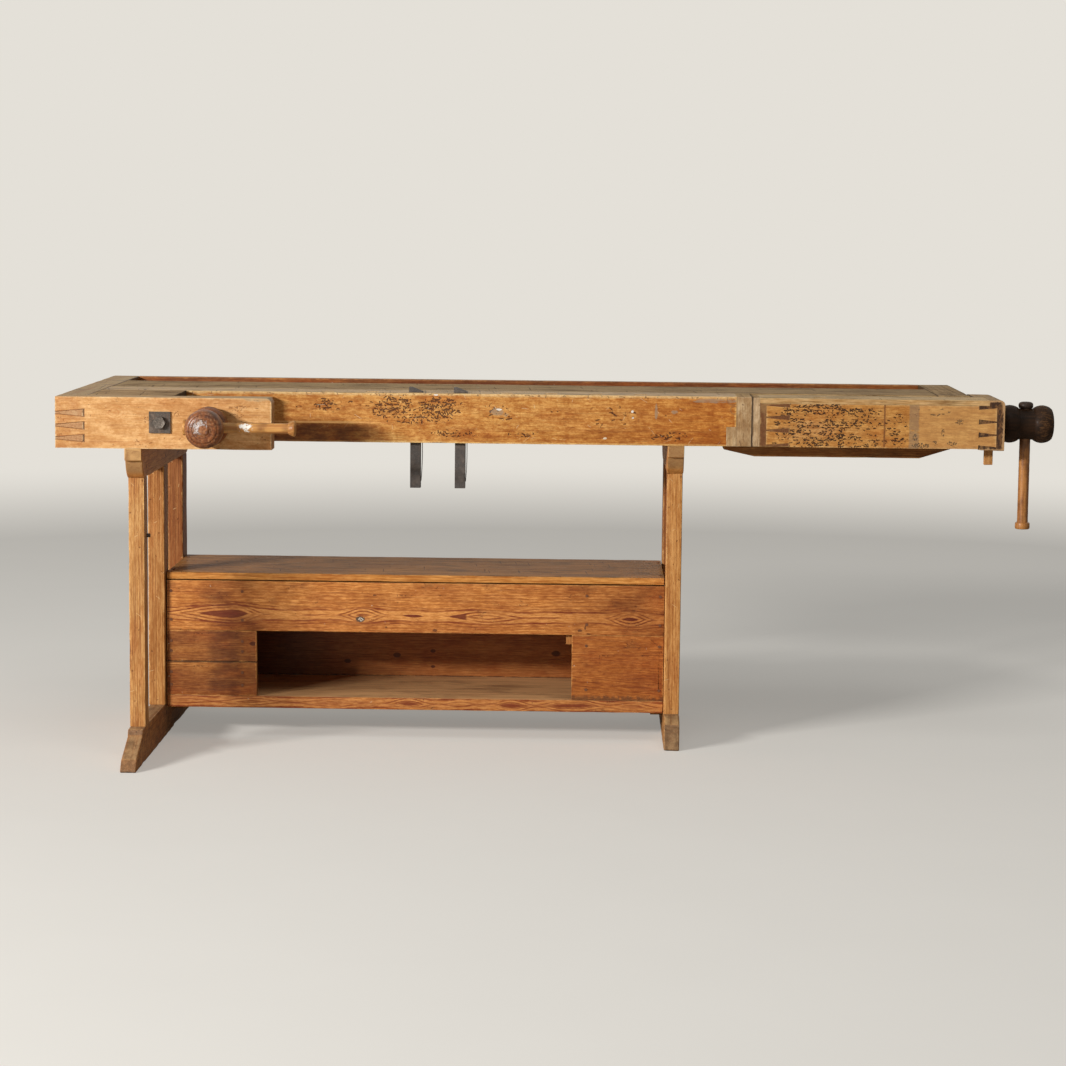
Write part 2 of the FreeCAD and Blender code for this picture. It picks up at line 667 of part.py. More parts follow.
pegPlaces = {
    "leftFront": (d.trestleLeft + d.trestleThick / 2, beamFront + d.beamWidth / 2),
    "leftRear": (d.trestleLeft + d.trestleThick / 2, benchBack - d.railThick / 2),
    "rightFront": (d.trestleRight + d.trestleThick / 2, beamFront + d.beamWidth / 2),
    "rightRear": (d.trestleRight + d.trestleThick / 2, benchBack - d.railThick / 2),
}


def pegHole(name, place):
    """The hole for a peg, half in the trestle's cap and half in the top."""
    x, y = pegPlaces[place]
    reach = d.topPegLength / 2
    return rod(name, "Z", underside - reach, d.topPegLength + d.pegFit * 2, d.topPegRadius + d.pegFit,
               x=x, y=y)


def frontBeam():
    blank = block("beamBlank", (d.leftEndThick, d.beamEnd), (beamFront, beamBack), (underside, top))
    holes = [dogHole(f"beamDogHole{place + 3}", place, underside, top) for place in freeDogHoles + dogPlaces]
    place = {"y": leftBoltY, "z": leftBoltHeight}
    holes.append(rod("beamEndBoltHole", "X", d.leftEndThick, leftBoltReach + d.boltSpare,
                     d.boltHoleRadius, **place))
    holes.append(rod("beamBoltHole", "Y", beamFront, d.boltReach + d.boltSpare, d.boltHoleRadius,
                     x=shoulderBoltX, z=boltHeight))
    half = d.nutSize / 2
    holes.append(nutPocket(
        "shoulderNutPocket", (shoulderBoltX - half, shoulderBoltX + half),
        (shoulderNutStart, shoulderNutStart + d.nutThick), boltHeight, underside))
    holes.append(nutPocket(
        "leftNutPocket", (leftNutStart, leftNutStart + d.nutThick),
        (leftBoltY - half, leftBoltY + half), leftBoltHeight, underside))
    holes += [pegHole(f"beamPegHole{name}", name) for name in ("leftFront", "rightFront")]
    keep(cut("front_beam", blank, beamFacingShape("facingSocket"), *holes), "front_beam")
    keep(beamFacingShape("beam_end_facing"), "beam_end_facing")


def topSlab():
    blank = block("slabBlank", (d.leftEndThick, d.rightCapStart), (beamBack, slabBack), (slabBottom, top))
    holes = []
    half = d.nutSize / 2
    for number, y in enumerate(rightBoltYs, start=1):
        holes.append(rod(f"slabBoltHole{number}", "X", rightBoltEnd - d.boltSpare,
                         d.rightCapStart - rightBoltEnd + d.boltSpare, d.boltHoleRadius,
                         y=y, z=rightBoltHeight))
        holes.append(nutPocket(f"slabNutPocket{number}", (rightNutStart, rightNutStart + d.nutThick),
                               (y - half, y + half), rightBoltHeight, slabBottom))
    keep(cut("top_slab", blank, *holes), "top_slab")


def trayAndRail():
    trayTop = slabBottom
    trayBottom = trayTop - d.trayBoardThick
    along = (d.leftEndThick, d.rightCapStart)
    keep(block("tray_board", along, (slabBack - d.trayLap, railFront + d.trayGroove), (trayBottom, trayTop)),
         "tray_board")
    blank = block("railBlank", along, (railFront, benchBack), (underside, top))
    groove = block("trayGrooveCut", along, (railFront, railFront + d.trayGroove), (trayBottom, trayTop))
    holes = [pegHole(f"railPegHole{name}", name) for name in ("leftRear", "rightRear")]
    keep(cut("rear_rail", blank, groove, *holes), "rear_rail")


nutTop = underside + d.nutLow + d.nutHeight


def nutTenonShape(name):
    shoulder = d.rightCapThick / 5
    return block(
        name,
        (d.rightCapStart + shoulder, rightCapEnd - shoulder),
        (beamBack, beamBack + d.nutTenon),
        (underside + d.nutLow + d.nutHeight / 4, nutTop - d.nutHeight / 4),
    )


def rightEndCap():
    blank = block("endCapBlank", (d.rightCapStart, rightCapEnd), (beamBack, benchBack), (underside, top))
    holes = [nutTenonShape("nutMortise")]
    for number, y in enumerate(rightBoltYs, start=1):
        place = {"y": y, "z": rightBoltHeight}
        seat = rightCapEnd - d.counterbore
        holes.append(rod(f"capRecess{number}", "X", seat, d.counterbore, d.counterboreRadius, **place))
        holes.append(rod(f"capBoltHole{number}", "X", d.rightCapStart, d.rightCapThick, d.boltHoleRadius,
                         **place))
    keep(cut("right_end_cap", blank, *holes), "right_end_cap")


def nutBlock():
    blank = block("nutBlank", (d.rightCapStart, rightCapEnd), (beamBack - d.nutDepth, beamBack),
                  (underside + d.nutLow, nutTop))
    bore = rod("nutBore", "X", d.rightCapStart, d.rightCapThick, d.tailShaftRadius + d.runningFit,
               y=tailScrewY, z=screwHeight)
    whole = join("nutWithTenon", blank, nutTenonShape("nutTenon"))
    keep(cut("tail_nut_block", whole, bore), "tail_nut_block")


guideTop = top - d.guideDrop
sledStart = d.beamEnd - d.sledLap
sledEnd = d.rightCapStart + d.sledCapLap
sledFront = beamBack - d.sledInset


def guides():
    """What the tail vise slides on: a strip on the slab's edge and a rail below."""
    keep(block("tail_guide_strip", (d.beamEnd, d.rightCapStart), (beamBack - d.guideWidth, beamBack),
               (guideTop - d.guideHeight, guideTop)), "tail_guide_strip")
    low = underside - d.sledThick
    corners = [
        (sledStart, underside),
        (sledStart, underside - d.sledStep),
        (sledStart + d.sledBevel, low),
        (sledEnd - d.sledBevel, low),
        (sledEnd, underside - d.sledNose),
        (sledEnd, underside),
    ]
    rail = prism("lower_guide_rail", "XZ_Plane", corners, sledFront, sledFront + d.sledWidth)
    keep(rail, "lower_guide_rail")


# ---------------------------------------------------------------- trestles
capBottom = underside - d.capHeight
rearPost = benchBack - d.rearPostInset
trestles = {
    "left": {
        "middle": d.trestleLeft + d.trestleThick / 2,
        "footThick": d.leftPostThick,
        "footFront": [
            (d.leftFrontPost - d.leftLip, d.footHeight),
            (d.leftFrontPost - d.leftLip - d.lipSlant, d.footHeight - d.lipStep),
            (d.noseRun - d.leftToe, d.footNose),
            (-d.leftToe, d.noseEdge),
            (-d.leftToe, zero),
        ],
        "capFront": zero,
        "posts": {
            "front": (d.leftFrontPost, d.slimPostDepth, d.leftPostThick),
            "middle": (d.leftMiddlePost, d.postDepth, d.innerPostThick),
            "rear": (rearPost, d.rearPostDepth, d.innerPostThick),
        },
    },
    "right": {
        "middle": d.trestleRight + d.trestleThick / 2,
        "footThick": d.rightPostThick,
        "footFront": [
            (d.rightFrontPost - d.rightLip, d.footHeight),
            (d.rightToe, d.rightNose),
            (d.rightToe, zero),
        ],
        "capFront": d.rightCapFront,
        "posts": {
            "front": (d.rightFrontPost, d.postDepth, d.rightPostThick),
            "rear": (rearPost, d.rearPostDepth, d.rightPostThick),
        },
    },
}


def centred(middle, width):
    return (middle - width / 2, middle + width / 2)


def postTenons(name, data, front, depth):
    """The two tenons of a post: into its foot and into its cap."""
    across = centred(data["middle"], d.tenonThick)
    deep = (front + d.tenonInset, front + depth - d.tenonInset)
    return [
        block(f"{name}FootTenon", across, deep, (d.footHeight - d.tenonLength, d.footHeight)),
        block(f"{name}CapTenon", across, deep, (capBottom, capBottom + d.tenonLength)),
    ]


def drawPegs(name, data, front, depth):
    """The pegs across those two tenons, flush with the foot and with the cap."""
    pegs = []
    for end, thick, z in (
        ("Foot", data["footThick"], d.footHeight - d.drawPegInset),
        ("Cap", d.trestleThick, capBottom + d.drawPegInset),
    ):
        pegs.append(rod(f"{name}{end}Peg", "X", data["middle"] - thick / 2, thick, d.drawPegRadius,
                        y=front + depth / 2, z=z))
    return pegs


studEnd = d.trestleLeft + d.trestleThick / 2 + d.leftPostThick / 2 + d.studProud
studStart = studEnd - d.studProud - d.leftPostThick


def studShank(name):
    return rod(name, "X", studStart, studEnd - studStart, d.studRadius,
               y=d.leftFrontPost + d.studSetback, z=d.studHeight)


def trestle(side):
    data = trestles[side]
    posts = list(data["posts"].values())
    firstPost, lastBack = posts[0][0], posts[-1][0] + posts[-1][1]
    footBack = [(benchBack, zero), (benchBack, d.footNose), (lastBack + d.footLip, d.footHeight)]
    stepHeight = underside - d.capNose
    capCorners = [
        (data["capFront"], underside),
        (data["capFront"], stepHeight),
        (data["capFront"] + d.capStep, stepHeight, d.capSwell),
        (firstPost, capBottom),
        (lastBack, capBottom, d.capSwell),
        (benchBack - d.capStep, stepHeight),
        (benchBack, stepHeight),
        (benchBack, underside),
    ]
    foot = prism(f"{side}FootBlank", "YZ_Plane", footBack + data["footFront"],
                 *centred(data["middle"], data["footThick"]))
    cap = prism(f"{side}CapBlank", "YZ_Plane", capCorners, *centred(data["middle"], d.trestleThick))
    footCuts, capCuts = [], []
    for post, (front, depth, thick) in data["posts"].items():
        name = f"{side}{post.capitalize()}"
        footCuts.append(postTenons(f"{name}Mortise", data, front, depth)[0])
        footCuts.append(drawPegs(f"{name}Bore", data, front, depth)[0])
        capCuts.append(postTenons(f"{name}Socket", data, front, depth)[1])
        capCuts.append(drawPegs(f"{name}Hole", data, front, depth)[1])
        blank = block(f"{name}Blank", centred(data["middle"], thick), (front, front + depth),
                      (d.footHeight, capBottom))
        whole = join(f"{name}WithTenons", blank, *postTenons(name, data, front, depth))
        cuts = drawPegs(f"{name}PegHole", data, front, depth)
        if (side, post) == ("left", "front"):
            cuts.append(studShank("studHole"))
        keep(cut(f"{side}_{post}_post", whole, *cuts), f"{side}_{post}_post")
    footCuts += [bearerBolt(f"{side}Hole{spot}", side, spot, d.bearerHoleRadius)[0] for spot in bearerSpots]
    capCuts += [pegHole(f"{side}CapPegHole{row}", f"{side}{row}") for row in ("Front", "Rear")]
    keep(cut(f"{side}_foot", foot, *footCuts), f"{side}_foot")
    keep(cut(f"{side}_cap", cap, *capCuts), f"{side}_cap")


def trestlePegs():
    pegs = []
    for side, data in trestles.items():
        for post, (front, depth, _) in data["posts"].items():
            pegs += drawPegs(f"{side}{post.capitalize()}Draw", data, front, depth)
    keep(group("drawbore_pegs", *pegs), "drawbore_pegs")
    dowels = [
        rod(f"{name}Dowel", "Z", underside - d.topPegLength / 2, d.topPegLength, d.topPegRadius, x=x, y=y)
        for name, (x, y) in pegPlaces.items()
    ]
    keep(group("top_pegs", *dowels), "top_pegs")


def postStud():
    head = rod("studHead", "X", studStart - d.studHeadThick, d.studHeadThick, d.studHeadRadius,
               y=d.leftFrontPost + d.studSetback, z=d.studHeight)
    keep(join("post_stud", studShank("studShank"), head), "post_stud")


# ---------------------------------------------------------------- tool box
boxBack = boxFront + d.boxDepth
boxTop = d.boxBottom + d.boxHeight
floorTop = d.boxBottom + d.boxFloorThick
frontInner = boxFront + d.boxBoard
backInner = boxBack - d.boxBoard
boxRightInside = boxEnd - d.boxBoard
battens = {
    "left": (openingLeft - d.battenInset - d.battenWidth, openingLeft - d.battenInset),
    "right": (openingRight + d.battenInset, openingRight + d.battenInset + d.battenWidth),
}
bearerFront = boxFront + d.bearerInset
bearerBack = rearPost + d.rearPostDepth
bearerSides = {
    "left": (trestles["left"]["middle"] + trestles["left"]["footThick"] / 2, 1),
    "right": (trestles["right"]["middle"] - trestles["right"]["footThick"] / 2, -1),
}
bearerSpots = {"Front": bearerFront + d.bearerBoltInset, "Back": rearPost - d.bearerBoltInset}


def nail(name, axis, face, inward, **place):
    """A nail whose head lies on the face; inward is 1 or -1 along its axis."""
    headStart = face - d.nailHeadThick if inward > 0 else face
    shankStart = headStart if inward > 0 else face + d.nailHeadThick - d.nailLength
    shank = rod(f"{name}Shank", axis, shankStart, d.nailLength, d.nailRadius, **place)
    head = rod(f"{name}Head", axis, headStart, d.nailHeadThick, d.nailHeadRadius, **place)
    return join(name, shank, head)


def boxNails():
    ends = {"Left": boxStart + d.boxBoard / 2, "Right": boxEnd - d.boxBoard / 2}
    strips = {side.capitalize(): (low + high) / 2 for side, (low, high) in battens.items()}
    frontBoards = {
        "Top": (("Left", "Right"), openingTop, boxTop - d.frontTopGap),
        "Lower": (("Left",), floorTop, panelSeam),
        "Upper": (("Left",), panelSeam, openingTop),
        "Panel": (("Right",), floorTop, openingTop),
    }
    nails = []
    for board, (sides, low, high) in frontBoards.items():
        for side in sides:
            for spot, x in (("End", ends[side]), ("Strip", strips[side])):
                for level, z in (("Low", low + d.nailInset), ("High", high - d.nailInset)):
                    nails.append(nail(f"nail{board}{side}{spot}{level}", "Y", boxFront, 1, x=x, z=z))
    for side, x in ends.items():
        for level, z in (("Low", floorTop + d.nailInset), ("High", boxTop - d.nailInset)):
            nails.append(nail(f"backNail{side}{level}", "Y", boxBack, -1, x=x, z=z))
        for row, y in (("Front", frontInner + d.nailInset), ("Back", backInner - d.nailInset)):
            nails.append(nail(f"lidNail{side}{row}", "Z", boxTop + d.boxLidThick, -1, x=x, y=y))
    return keep(group("box_nails", *nails), "box_nails")


def toolBox():
    nails = boxNails()
    across = (boxStart, boxEnd)
    front = (boxFront, frontInner)
    inside = (frontInner, backInner)
    walls = (floorTop, boxTop)
    keep(block("box_floor", across, (boxFront, boxBack), (d.boxBottom, floorTop)), "box_floor")
    boards = {
        "box_left_end": ((boxStart, boxStart + d.boxBoard), inside, walls),
        "box_right_end": ((boxRightInside, boxEnd), inside, walls),
        "box_back": (across, (backInner, boxBack), walls),
        "box_front_top": (across, front, (openingTop, boxTop - d.frontTopGap)),
        "box_left_lower_panel": ((boxStart, openingLeft), front, (floorTop, panelSeam)),
        "box_left_upper_panel": ((boxStart, openingLeft), front, (panelSeam, openingTop)),
        "box_right_panel": ((openingRight, boxEnd), front, (floorTop, openingTop)),
        "box_lid": ((boxStart, boxEnd - d.boxLidShort), (boxFront, boxBack + d.boxLidOver),
                    (boxTop, boxTop + d.boxLidThick)),
    }
    for name, extents in boards.items():
        keep(cut(name, block(f"{name}_blank", *extents), nails), name)
    strips = [
        cut(f"{side}Batten", block(f"{side}BattenBlank", span, (frontInner, frontInner + d.boxBoard),
                                   (floorTop, boxTop - d.frontTopGap)), nails)
        for side, span in battens.items()
    ]
    strips.append(block("openingCleat", (openingRight - d.cleatWidth, openingRight),
                        (frontInner, frontInner + d.cleatDepth), (openingTop - d.cleatHeight, openingTop)))
    keep(group("box_battens", *strips), "box_battens")


def bearerExtent(side):
    """A bearer's low and high faces along the bench, starting at its foot."""
    face, away = bearerSides[side]
    return (face, face + d.bearerSize) if away > 0 else (face - d.bearerSize, face)


def bearerBolt(name, side, spot, radius=d.bearerBoltRadius):
    """Shank, head and nut of a bolt through a foot and its bearer."""
    thick = trestles[side]["footThick"]
    face, away = bearerSides[side]
    low = face - thick if away > 0 else face - d.bearerSize
    long = thick + d.bearerSize
    y, z = bearerSpots[spot], d.boxBottom - d.bearerSize / 2
    shank = rod(f"{name}Shank", "X", low - d.bearerNutThick, long + d.bearerNutThick * 2, radius,
                y=y, z=z)
    square = (centred(y, d.bearerNutSize), centred(z, d.bearerNutSize))
    ends = [
        block(f"{name}LowEnd", (low - d.bearerNutThick, low), *square),
        block(f"{name}HighEnd", (low + long, low + long + d.bearerNutThick), *square),
    ]
    return shank, ends


def bearers():
    pieces, bolts = [], []
    for side in trestles:
        blank = block(f"{side}BearerBlank", bearerExtent(side), (bearerFront, bearerBack),
                      (d.boxBottom - d.bearerSize, d.boxBottom))
        holes = [bearerBolt(f"{side}Bearer{spot}", side, spot, d.bearerHoleRadius)[0] for spot in bearerSpots]
        pieces.append(cut(f"{side}Bearer", blank, *holes))
        for spot in bearerSpots:
            shank, ends = bearerBolt(f"{side}Bolt{spot}", side, spot)
            bolts.append(join(f"{side}BearerBolt{spot}", shank, *ends))
    keep(group("box_bearers", *pieces), "box_bearers")
    keep(group("bearer_bolts", *bolts), "bearer_bolts")


# ---------------------------------------------------------------- screws and bars
def hubCorners(bulbRadius):
    """A hub's turned outline from its inner face to the middle of its end."""
    start = d.hubGap
    beadEnd = start + d.beadLength
    waistEnd = beadEnd + d.waistLength
    end = waistEnd + d.bulbLength
    groove = end - d.ringDepth
    return [
        (start, d.beadRadius - d.beadSwell, d.beadSwell),
        (beadEnd - d.hubEase, d.beadRadius - d.beadSwell),
        (beadEnd, d.waistRadius),
        (waistEnd, d.waistRadius),
        (waistEnd + d.hubEase, bulbRadius - d.bulbSwell, d.bulbSwell),
        (groove - d.ringDepth * 2, d.capRadius),
        (groove - d.ringDepth * 3, d.capRadius - d.ringWidth),
        (groove, d.capRadius - d.ringWidth * 2),
        (groove, d.centreRadius + d.ringWidth),
        (groove - d.ringDepth, d.centreRadius),
        (end, d.centreRadius - d.ringWidth),
        (end, zero),
    ]


jawBack = beamFront - d.jawRest
jawFront = jawBack - d.jawThick
garterFront = jawFront - d.garterThick
frontBarY = -(d.hubGap + d.beadLength + d.waistLength / 2)
tailBarX = endBlockEnd + d.hubGap + d.beadLength + d.waistLength / 2
outward = Rotation(Vector(0, 0, 1), -90)


def frontScrew():
    # the hub lies along +X of the turned blank, so places inside the bench are negative
    tip = -(jawFront + d.noseDepth)
    noseStart = -(jawFront + d.slideFit)
    neckEnd = -(garterFront - d.slideFit)
    shaft = [
        (tip, zero),
        (tip, d.noseRadius),
        (noseStart, d.noseRadius),
        (noseStart, d.neckRadius),
        (neckEnd, d.neckRadius),
        (neckEnd, d.frontShaftRadius),
        (d.hubGap, d.frontShaftRadius),
    ]
    blank = turned("frontScrewBlank", outward, shaft + hubCorners(d.frontBulbRadius), frontScrewX, zero,
                   screwHeight)
    hole = rod("frontBarHole", "X", frontScrewX - d.beadRadius, d.beadRadius * 2,
               d.frontBarRadius + d.runningFit, y=frontBarY, z=screwHeight)
    keep(cut("front_screw", blank, hole), "front_screw")


def tailScrew():
    keyStart = endBlockStart + d.keyStart - endBlockEnd
    keyEnd = keyStart + d.keyWidth
    play = d.slideFit
    shaft = [
        (tailShaftStart - endBlockEnd, zero),
        (tailShaftStart - endBlockEnd, d.tailShaftRadius),
        (keyStart - play, d.tailShaftRadius),
        (keyStart - play, d.keyNeckRadius),
        (keyEnd + play, d.keyNeckRadius),
        (keyEnd + play, d.tailShaftRadius),
        (d.hubGap, d.tailShaftRadius),
    ]
    blank = turned("tailScrewBlank", Rotation(), shaft + hubCorners(d.tailBulbRadius), endBlockEnd,
                   tailScrewY, screwHeight)
    hole = rod("tailBarHole", "Z", screwHeight - d.beadRadius, d.beadRadius * 2,
               d.tailBarRadius + d.runningFit, x=tailBarX, y=tailScrewY)
    keep(cut("tail_screw", blank, hole), "tail_screw")


knobSkin = d.knobThick / 5


def knobCorners(radius, barRadius):
    """A knob from its inner face out, bored for the end of its bar."""
    return [
        (zero, barRadius),
        (zero, radius - d.knobEase, d.knobEase),
        (d.knobThick - d.knobEase, radius - d.knobEase),
        (d.knobThick, radius - d.knobEase * 3),
        (d.knobThick, zero),
        (d.knobThick - knobSkin, zero),
        (d.knobThick - knobSkin, barRadius),
    ]


def frontBar():
    left = frontScrewX - d.waistRadius - d.slideFit - d.knobThick
    right = left + d.frontBarLength
    bar = rod("front_bar", "X", left + knobSkin, d.frontBarLength - knobSkin * 2, d.frontBarRadius,
              y=frontBarY, z=screwHeight)
    keep(bar, "front_bar")
    corners = knobCorners(d.frontKnobRadius, d.frontBarRadius)
    knobs = [
        turned("frontLeftKnob", Rotation(Vector(0, 0, 1), 180), corners, left + d.knobThick, frontBarY,
               screwHeight),
        turned("frontRightKnob", Rotation(), corners, right - d.knobThick, frontBarY, screwHeight),
    ]
    keep(group("front_bar_knobs", *knobs), "front_bar_knobs")


def tailBar():
    seat = screwHeight + d.waistRadius + d.slideFit
    highEnd = seat + d.knobThick
    lowEnd = highEnd - d.tailBarLength
    bar = rod("tail_bar", "Z", lowEnd + knobSkin, d.tailBarLength - knobSkin * 2, d.tailBarRadius,
              x=tailBarX, y=tailScrewY)
    keep(bar, "tail_bar")
    corners = knobCorners(d.tailKnobRadius, d.tailBarRadius)
    knobs = [
        turned("tailTopKnob", Rotation(Vector(0, 1, 0), -90), corners, tailBarX, tailScrewY, seat),
        turned("tailLowKnob", Rotation(Vector(0, 1, 0), 90), corners, tailBarX, tailScrewY,
               lowEnd + d.knobThick),
    ]
    keep(group("tail_bar_knobs", *knobs), "tail_bar_knobs")


def frontJaw():
    left = d.shoulderEnd + d.jawLeftGap
    low = underside + d.jawLift
    board = block("jawBlank", (left, frontScrewX + d.jawReach), (jawFront, jawBack), (low, low + d.jawHeight))
    tongue = block("jawTongue", (left - d.tongueReach, left), (jawFront, jawBack),
                   (tongueLow, tongueLow + d.tongueHeight))
    socket = rod("noseSocket", "Y", jawFront, d.noseDepth + d.slideFit, d.noseRadius + d.runningFit,
                 x=frontScrewX, z=screwHeight)
    screws = garterScrews()
    keep(cut("front_jaw_board", join("jawWithTongue", board, tongue), socket, screws), "front_jaw_board")
    tall = d.garterHeight / 2
    halves = []
    for name, heights in (
        ("Upper", (screwHeight + d.slideFit, screwHeight + tall)),
        ("Lower", (screwHeight - tall, screwHeight - d.slideFit)),
    ):
        plate = block(f"garter{name}Blank", centred(frontScrewX, d.garterWidth), (garterFront, jawFront),
                      heights)
        hole = rod(f"garter{name}Hole", "Y", garterFront, d.garterThick, d.neckRadius + d.runningFit,
                   x=frontScrewX, z=screwHeight)
        halves.append(cut(f"garter{name}", plate, hole, screws))
    keep(group("front_garter_plate", *halves), "front_garter_plate")


def garterScrews():
    """Four screws that hold the garter plate's halves on the jaw board."""
    across = d.garterWidth / 2 - d.garterScrewInset
    tall = d.garterHeight / 2 - d.garterScrewInset
    screws = []
    for column, x in (("Left", frontScrewX - across), ("Right", frontScrewX + across)):
        for row, z in (("Low", screwHeight - tall), ("High", screwHeight + tall)):
            screws.append(nail(f"garterScrew{column}{row}", "Y", garterFront, 1, x=x, z=z))
    return keep(group("garter_screws", *screws), "garter_screws")


# ---------------------------------------------------------------- tail vise
boardHeight = lidBottom - viseBottom
leftTailStart = jawBlockStart + d.leftLap
rightTailEnd = endBlockStart + d.rightTail
viseHoleLeft = d.dogLeft + d.dogPitch * viseDogHole
boardBack = beamFront + d.boardThick
tailPins = {
    "left": {"outer": leftTailStart, "inner": jawBlockEnd,
             "centres": [lidBottom - boardHeight * share for share in (0.32, 0.62)]},
    "right": {"outer": rightTailEnd, "inner": endBlockStart,
              "centres": [lidBottom - boardHeight * share for share in (0.37, 0.67)]},
}
tailPinOuter = boardHeight * 0.03
tailPinInner = boardHeight * 0.115
halfPin = boardHeight * 0.09


def cornerPins(side, use):
    """Two full pins, and half pins above and below, of a tail vise corner."""
    data = tailPins[side]
    low, high = viseBottom, lidBottom
    pins = pinShapes(f"{side}{use}", data["outer"], data["inner"], data["centres"],
                     tailPinOuter, tailPinInner, beamFront, boardBack)
    for name, edge, toward in (("Top", high, -1), ("Foot", low, 1)):
        corners = [
            (data["outer"], edge),
            (data["inner"], edge),
            (data["inner"], edge + halfPin * toward),
            (data["outer"], edge + halfPin * 0.6 * toward),
        ]
        pins.append(prism(f"{side}{use}{name}", "XZ_Plane", corners, beamFront, boardBack))
    return pins


def guideGroove(name, x):
    """The groove that passes over the strip on the slab's edge."""
    return block(name, x, (beamBack - d.guideWidth - d.slideFit * 3, viseBack),
                 (guideTop - d.guideHeight - d.slideFit, guideTop + d.slideFit))


def tailBoards():
    facing = (tailStart, jawBlockStart)
    keep(cut("tail_jaw_facing", block("facingBlank", facing, (beamFront, viseBack), (viseBottom, viseTop)),
             guideGroove("facingGroove", facing)), "tail_jaw_facing")
    board = block("tailBoardBlank", (leftTailStart, rightTailEnd), (beamFront, boardBack),
                  (viseBottom, lidBottom))
    hole = dogHole("tailBoardDogHole", viseDogHole, viseBottom, lidBottom)
    keep(cut("tail_front_board", board, hole, *cornerPins("left", "Socket"), *cornerPins("right", "Socket")),
         "tail_front_board")
    lid = block("lidBlank", (jawBlockStart, endBlockStart + d.lidLap), (beamFront, viseBack),
                (lidBottom, viseTop))
    keep(cut("tail_lid", lid, dogHole("lidDogHole", viseDogHole, lidBottom, viseTop)), "tail_lid")
    keep(block("tail_lower_runner", (jawBlockEnd, endBlockStart), (viseBack - d.runnerWidth, viseBack),
               (viseBottom, viseBottom + d.runnerHeight)), "tail_lower_runner")


def tailJawBlock():
    blank = block("jawBlockBlank", (jawBlockStart, jawBlockEnd), (beamFront, viseBack),
                  (viseBottom, lidBottom))
    corner = block("jawBlockCorner", (leftTailStart, jawBlockEnd), (beamFront, boardBack),
                   (viseBottom, lidBottom))
    groove = guideGroove("jawBlockGroove", (jawBlockStart, jawBlockEnd))
    bare = cut("jawBlockBare", blank, corner, groove)
    keep(join("tail_jaw_block", bare, *cornerPins("left", "Block")), "tail_jaw_block")


def keyShape(name, low):
    start = endBlockStart + d.keyStart
    back = tailScrewY - d.keyNeckRadius - d.slideFit
    return block(name, (start, start + d.keyWidth), (back - d.keyThick, back),
                 (low, endBlockBottom + d.keyRise))


endBlockBottom = underside - d.endBlockDrop


def tailEndBlock():
    corner = d.endBlockCorner
    corners = [
        (endBlockStart, endBlockBottom),
        (endBlockEnd, endBlockBottom),
        (endBlockEnd, viseTop - corner, rounded(corner)),
        (endBlockEnd - corner, viseTop),
        (endBlockStart, viseTop),
    ]
    blank = prism("endBlockBlank", "XZ_Plane", corners, beamFront, beamFront + d.endBlockDepth)
    socket = block("endBlockSocket", (endBlockStart, rightTailEnd), (beamFront, boardBack),
                   (viseBottom, lidBottom))
    rabbet = block("endBlockRabbet", (endBlockStart, endBlockStart + d.lidLap), (beamFront, viseBack),
                   (lidBottom, viseTop))
    bore = rod("endBlockBore", "X", endBlockStart, d.endBlockThick, d.tailShaftRadius + d.runningFit,
               y=tailScrewY, z=screwHeight)
    bare = cut("endBlockBare", blank, socket, rabbet, bore, keyShape("keyMortise", endBlockBottom))
    keep(join("tail_end_block", bare, *cornerPins("right", "Block")), "tail_end_block")
    keep(keyShape("tail_garter_key", endBlockBottom - d.keyReach), "tail_garter_key")


# ---------------------------------------------------------------- dogs
def benchDog(side, place):
    left = d.dogLeft + d.dogPitch * place
    right = left + d.dogWidth
    foot = underside - d.dogHang
    seat = top + d.slideFit
    shank = block(f"{side}DogShank", (left, right), (dogFront, dogBack), (foot, seat))
    over = (d.dogHeadThick - d.dogThick) / 2
    headCorners = [
        (left - d.dogHeadOver, seat),
        (right + d.dogHeadTail, seat),
        (right + d.dogHeadTail, seat + d.dogHeadEdge),
        (left - d.dogHeadOver + d.dogLip, top + d.dogHeadHeight),
        (left - d.dogHeadOver, top + d.dogHeadHeight),
    ]
    head = prism(f"{side}DogHead", "XZ_Plane", headCorners, dogFront - over, dogBack + over)
    low = foot + d.springFoot
    high = low + d.springLength
    springCorners = [
        (right, low),
        (right + d.springThick, low, d.springBow),
        (right + d.springThick, high),
        (right, high, -d.springBow),
    ]
    spring = prism(f"{side}DogSpring", "XZ_Plane", springCorners, dogFront + d.springInset,
                   dogBack - d.springInset)
    keep(group(f"{side}_dog", join(f"{side}DogIron", shank, head), spring), f"{side}_dog")


def build():
    viseArm()
    leftEndBoard()
    shoulderBlock()
    shoulderBolt()
    frontBeam()
    topSlab()
    trayAndRail()
    rightEndCap()
    endBolts()
    squareNuts()
    nutBlock()
    guides()
    trestle("left")
    trestle("right")
    trestlePegs()
    postStud()
    toolBox()
    bearers()
    frontScrew()
    frontBar()
    frontJaw()
    tailBoards()
    tailJawBlock()
    tailEndBlock()
    tailScrew()
    tailBar()
    benchDog("left", dogPlaces[0])
    benchDog("right", dogPlaces[1])
    doc.recompute()


def check():
    """Stop if any object failed or any sub-part has no sound solid."""
    for thing in doc.Objects:
        if any(state in ("Invalid", "Error") for state in thing.State):
            raise RuntimeError(f"{thing.Label} did not compute: {thing.State}")
    for piece in subParts:
        shape = piece.Shape
        if shape.isNull() or not shape.isValid() or shape.Volume < 1 or not shape.Solids:
            raise RuntimeError(f"{piece.Label} has no valid solid")


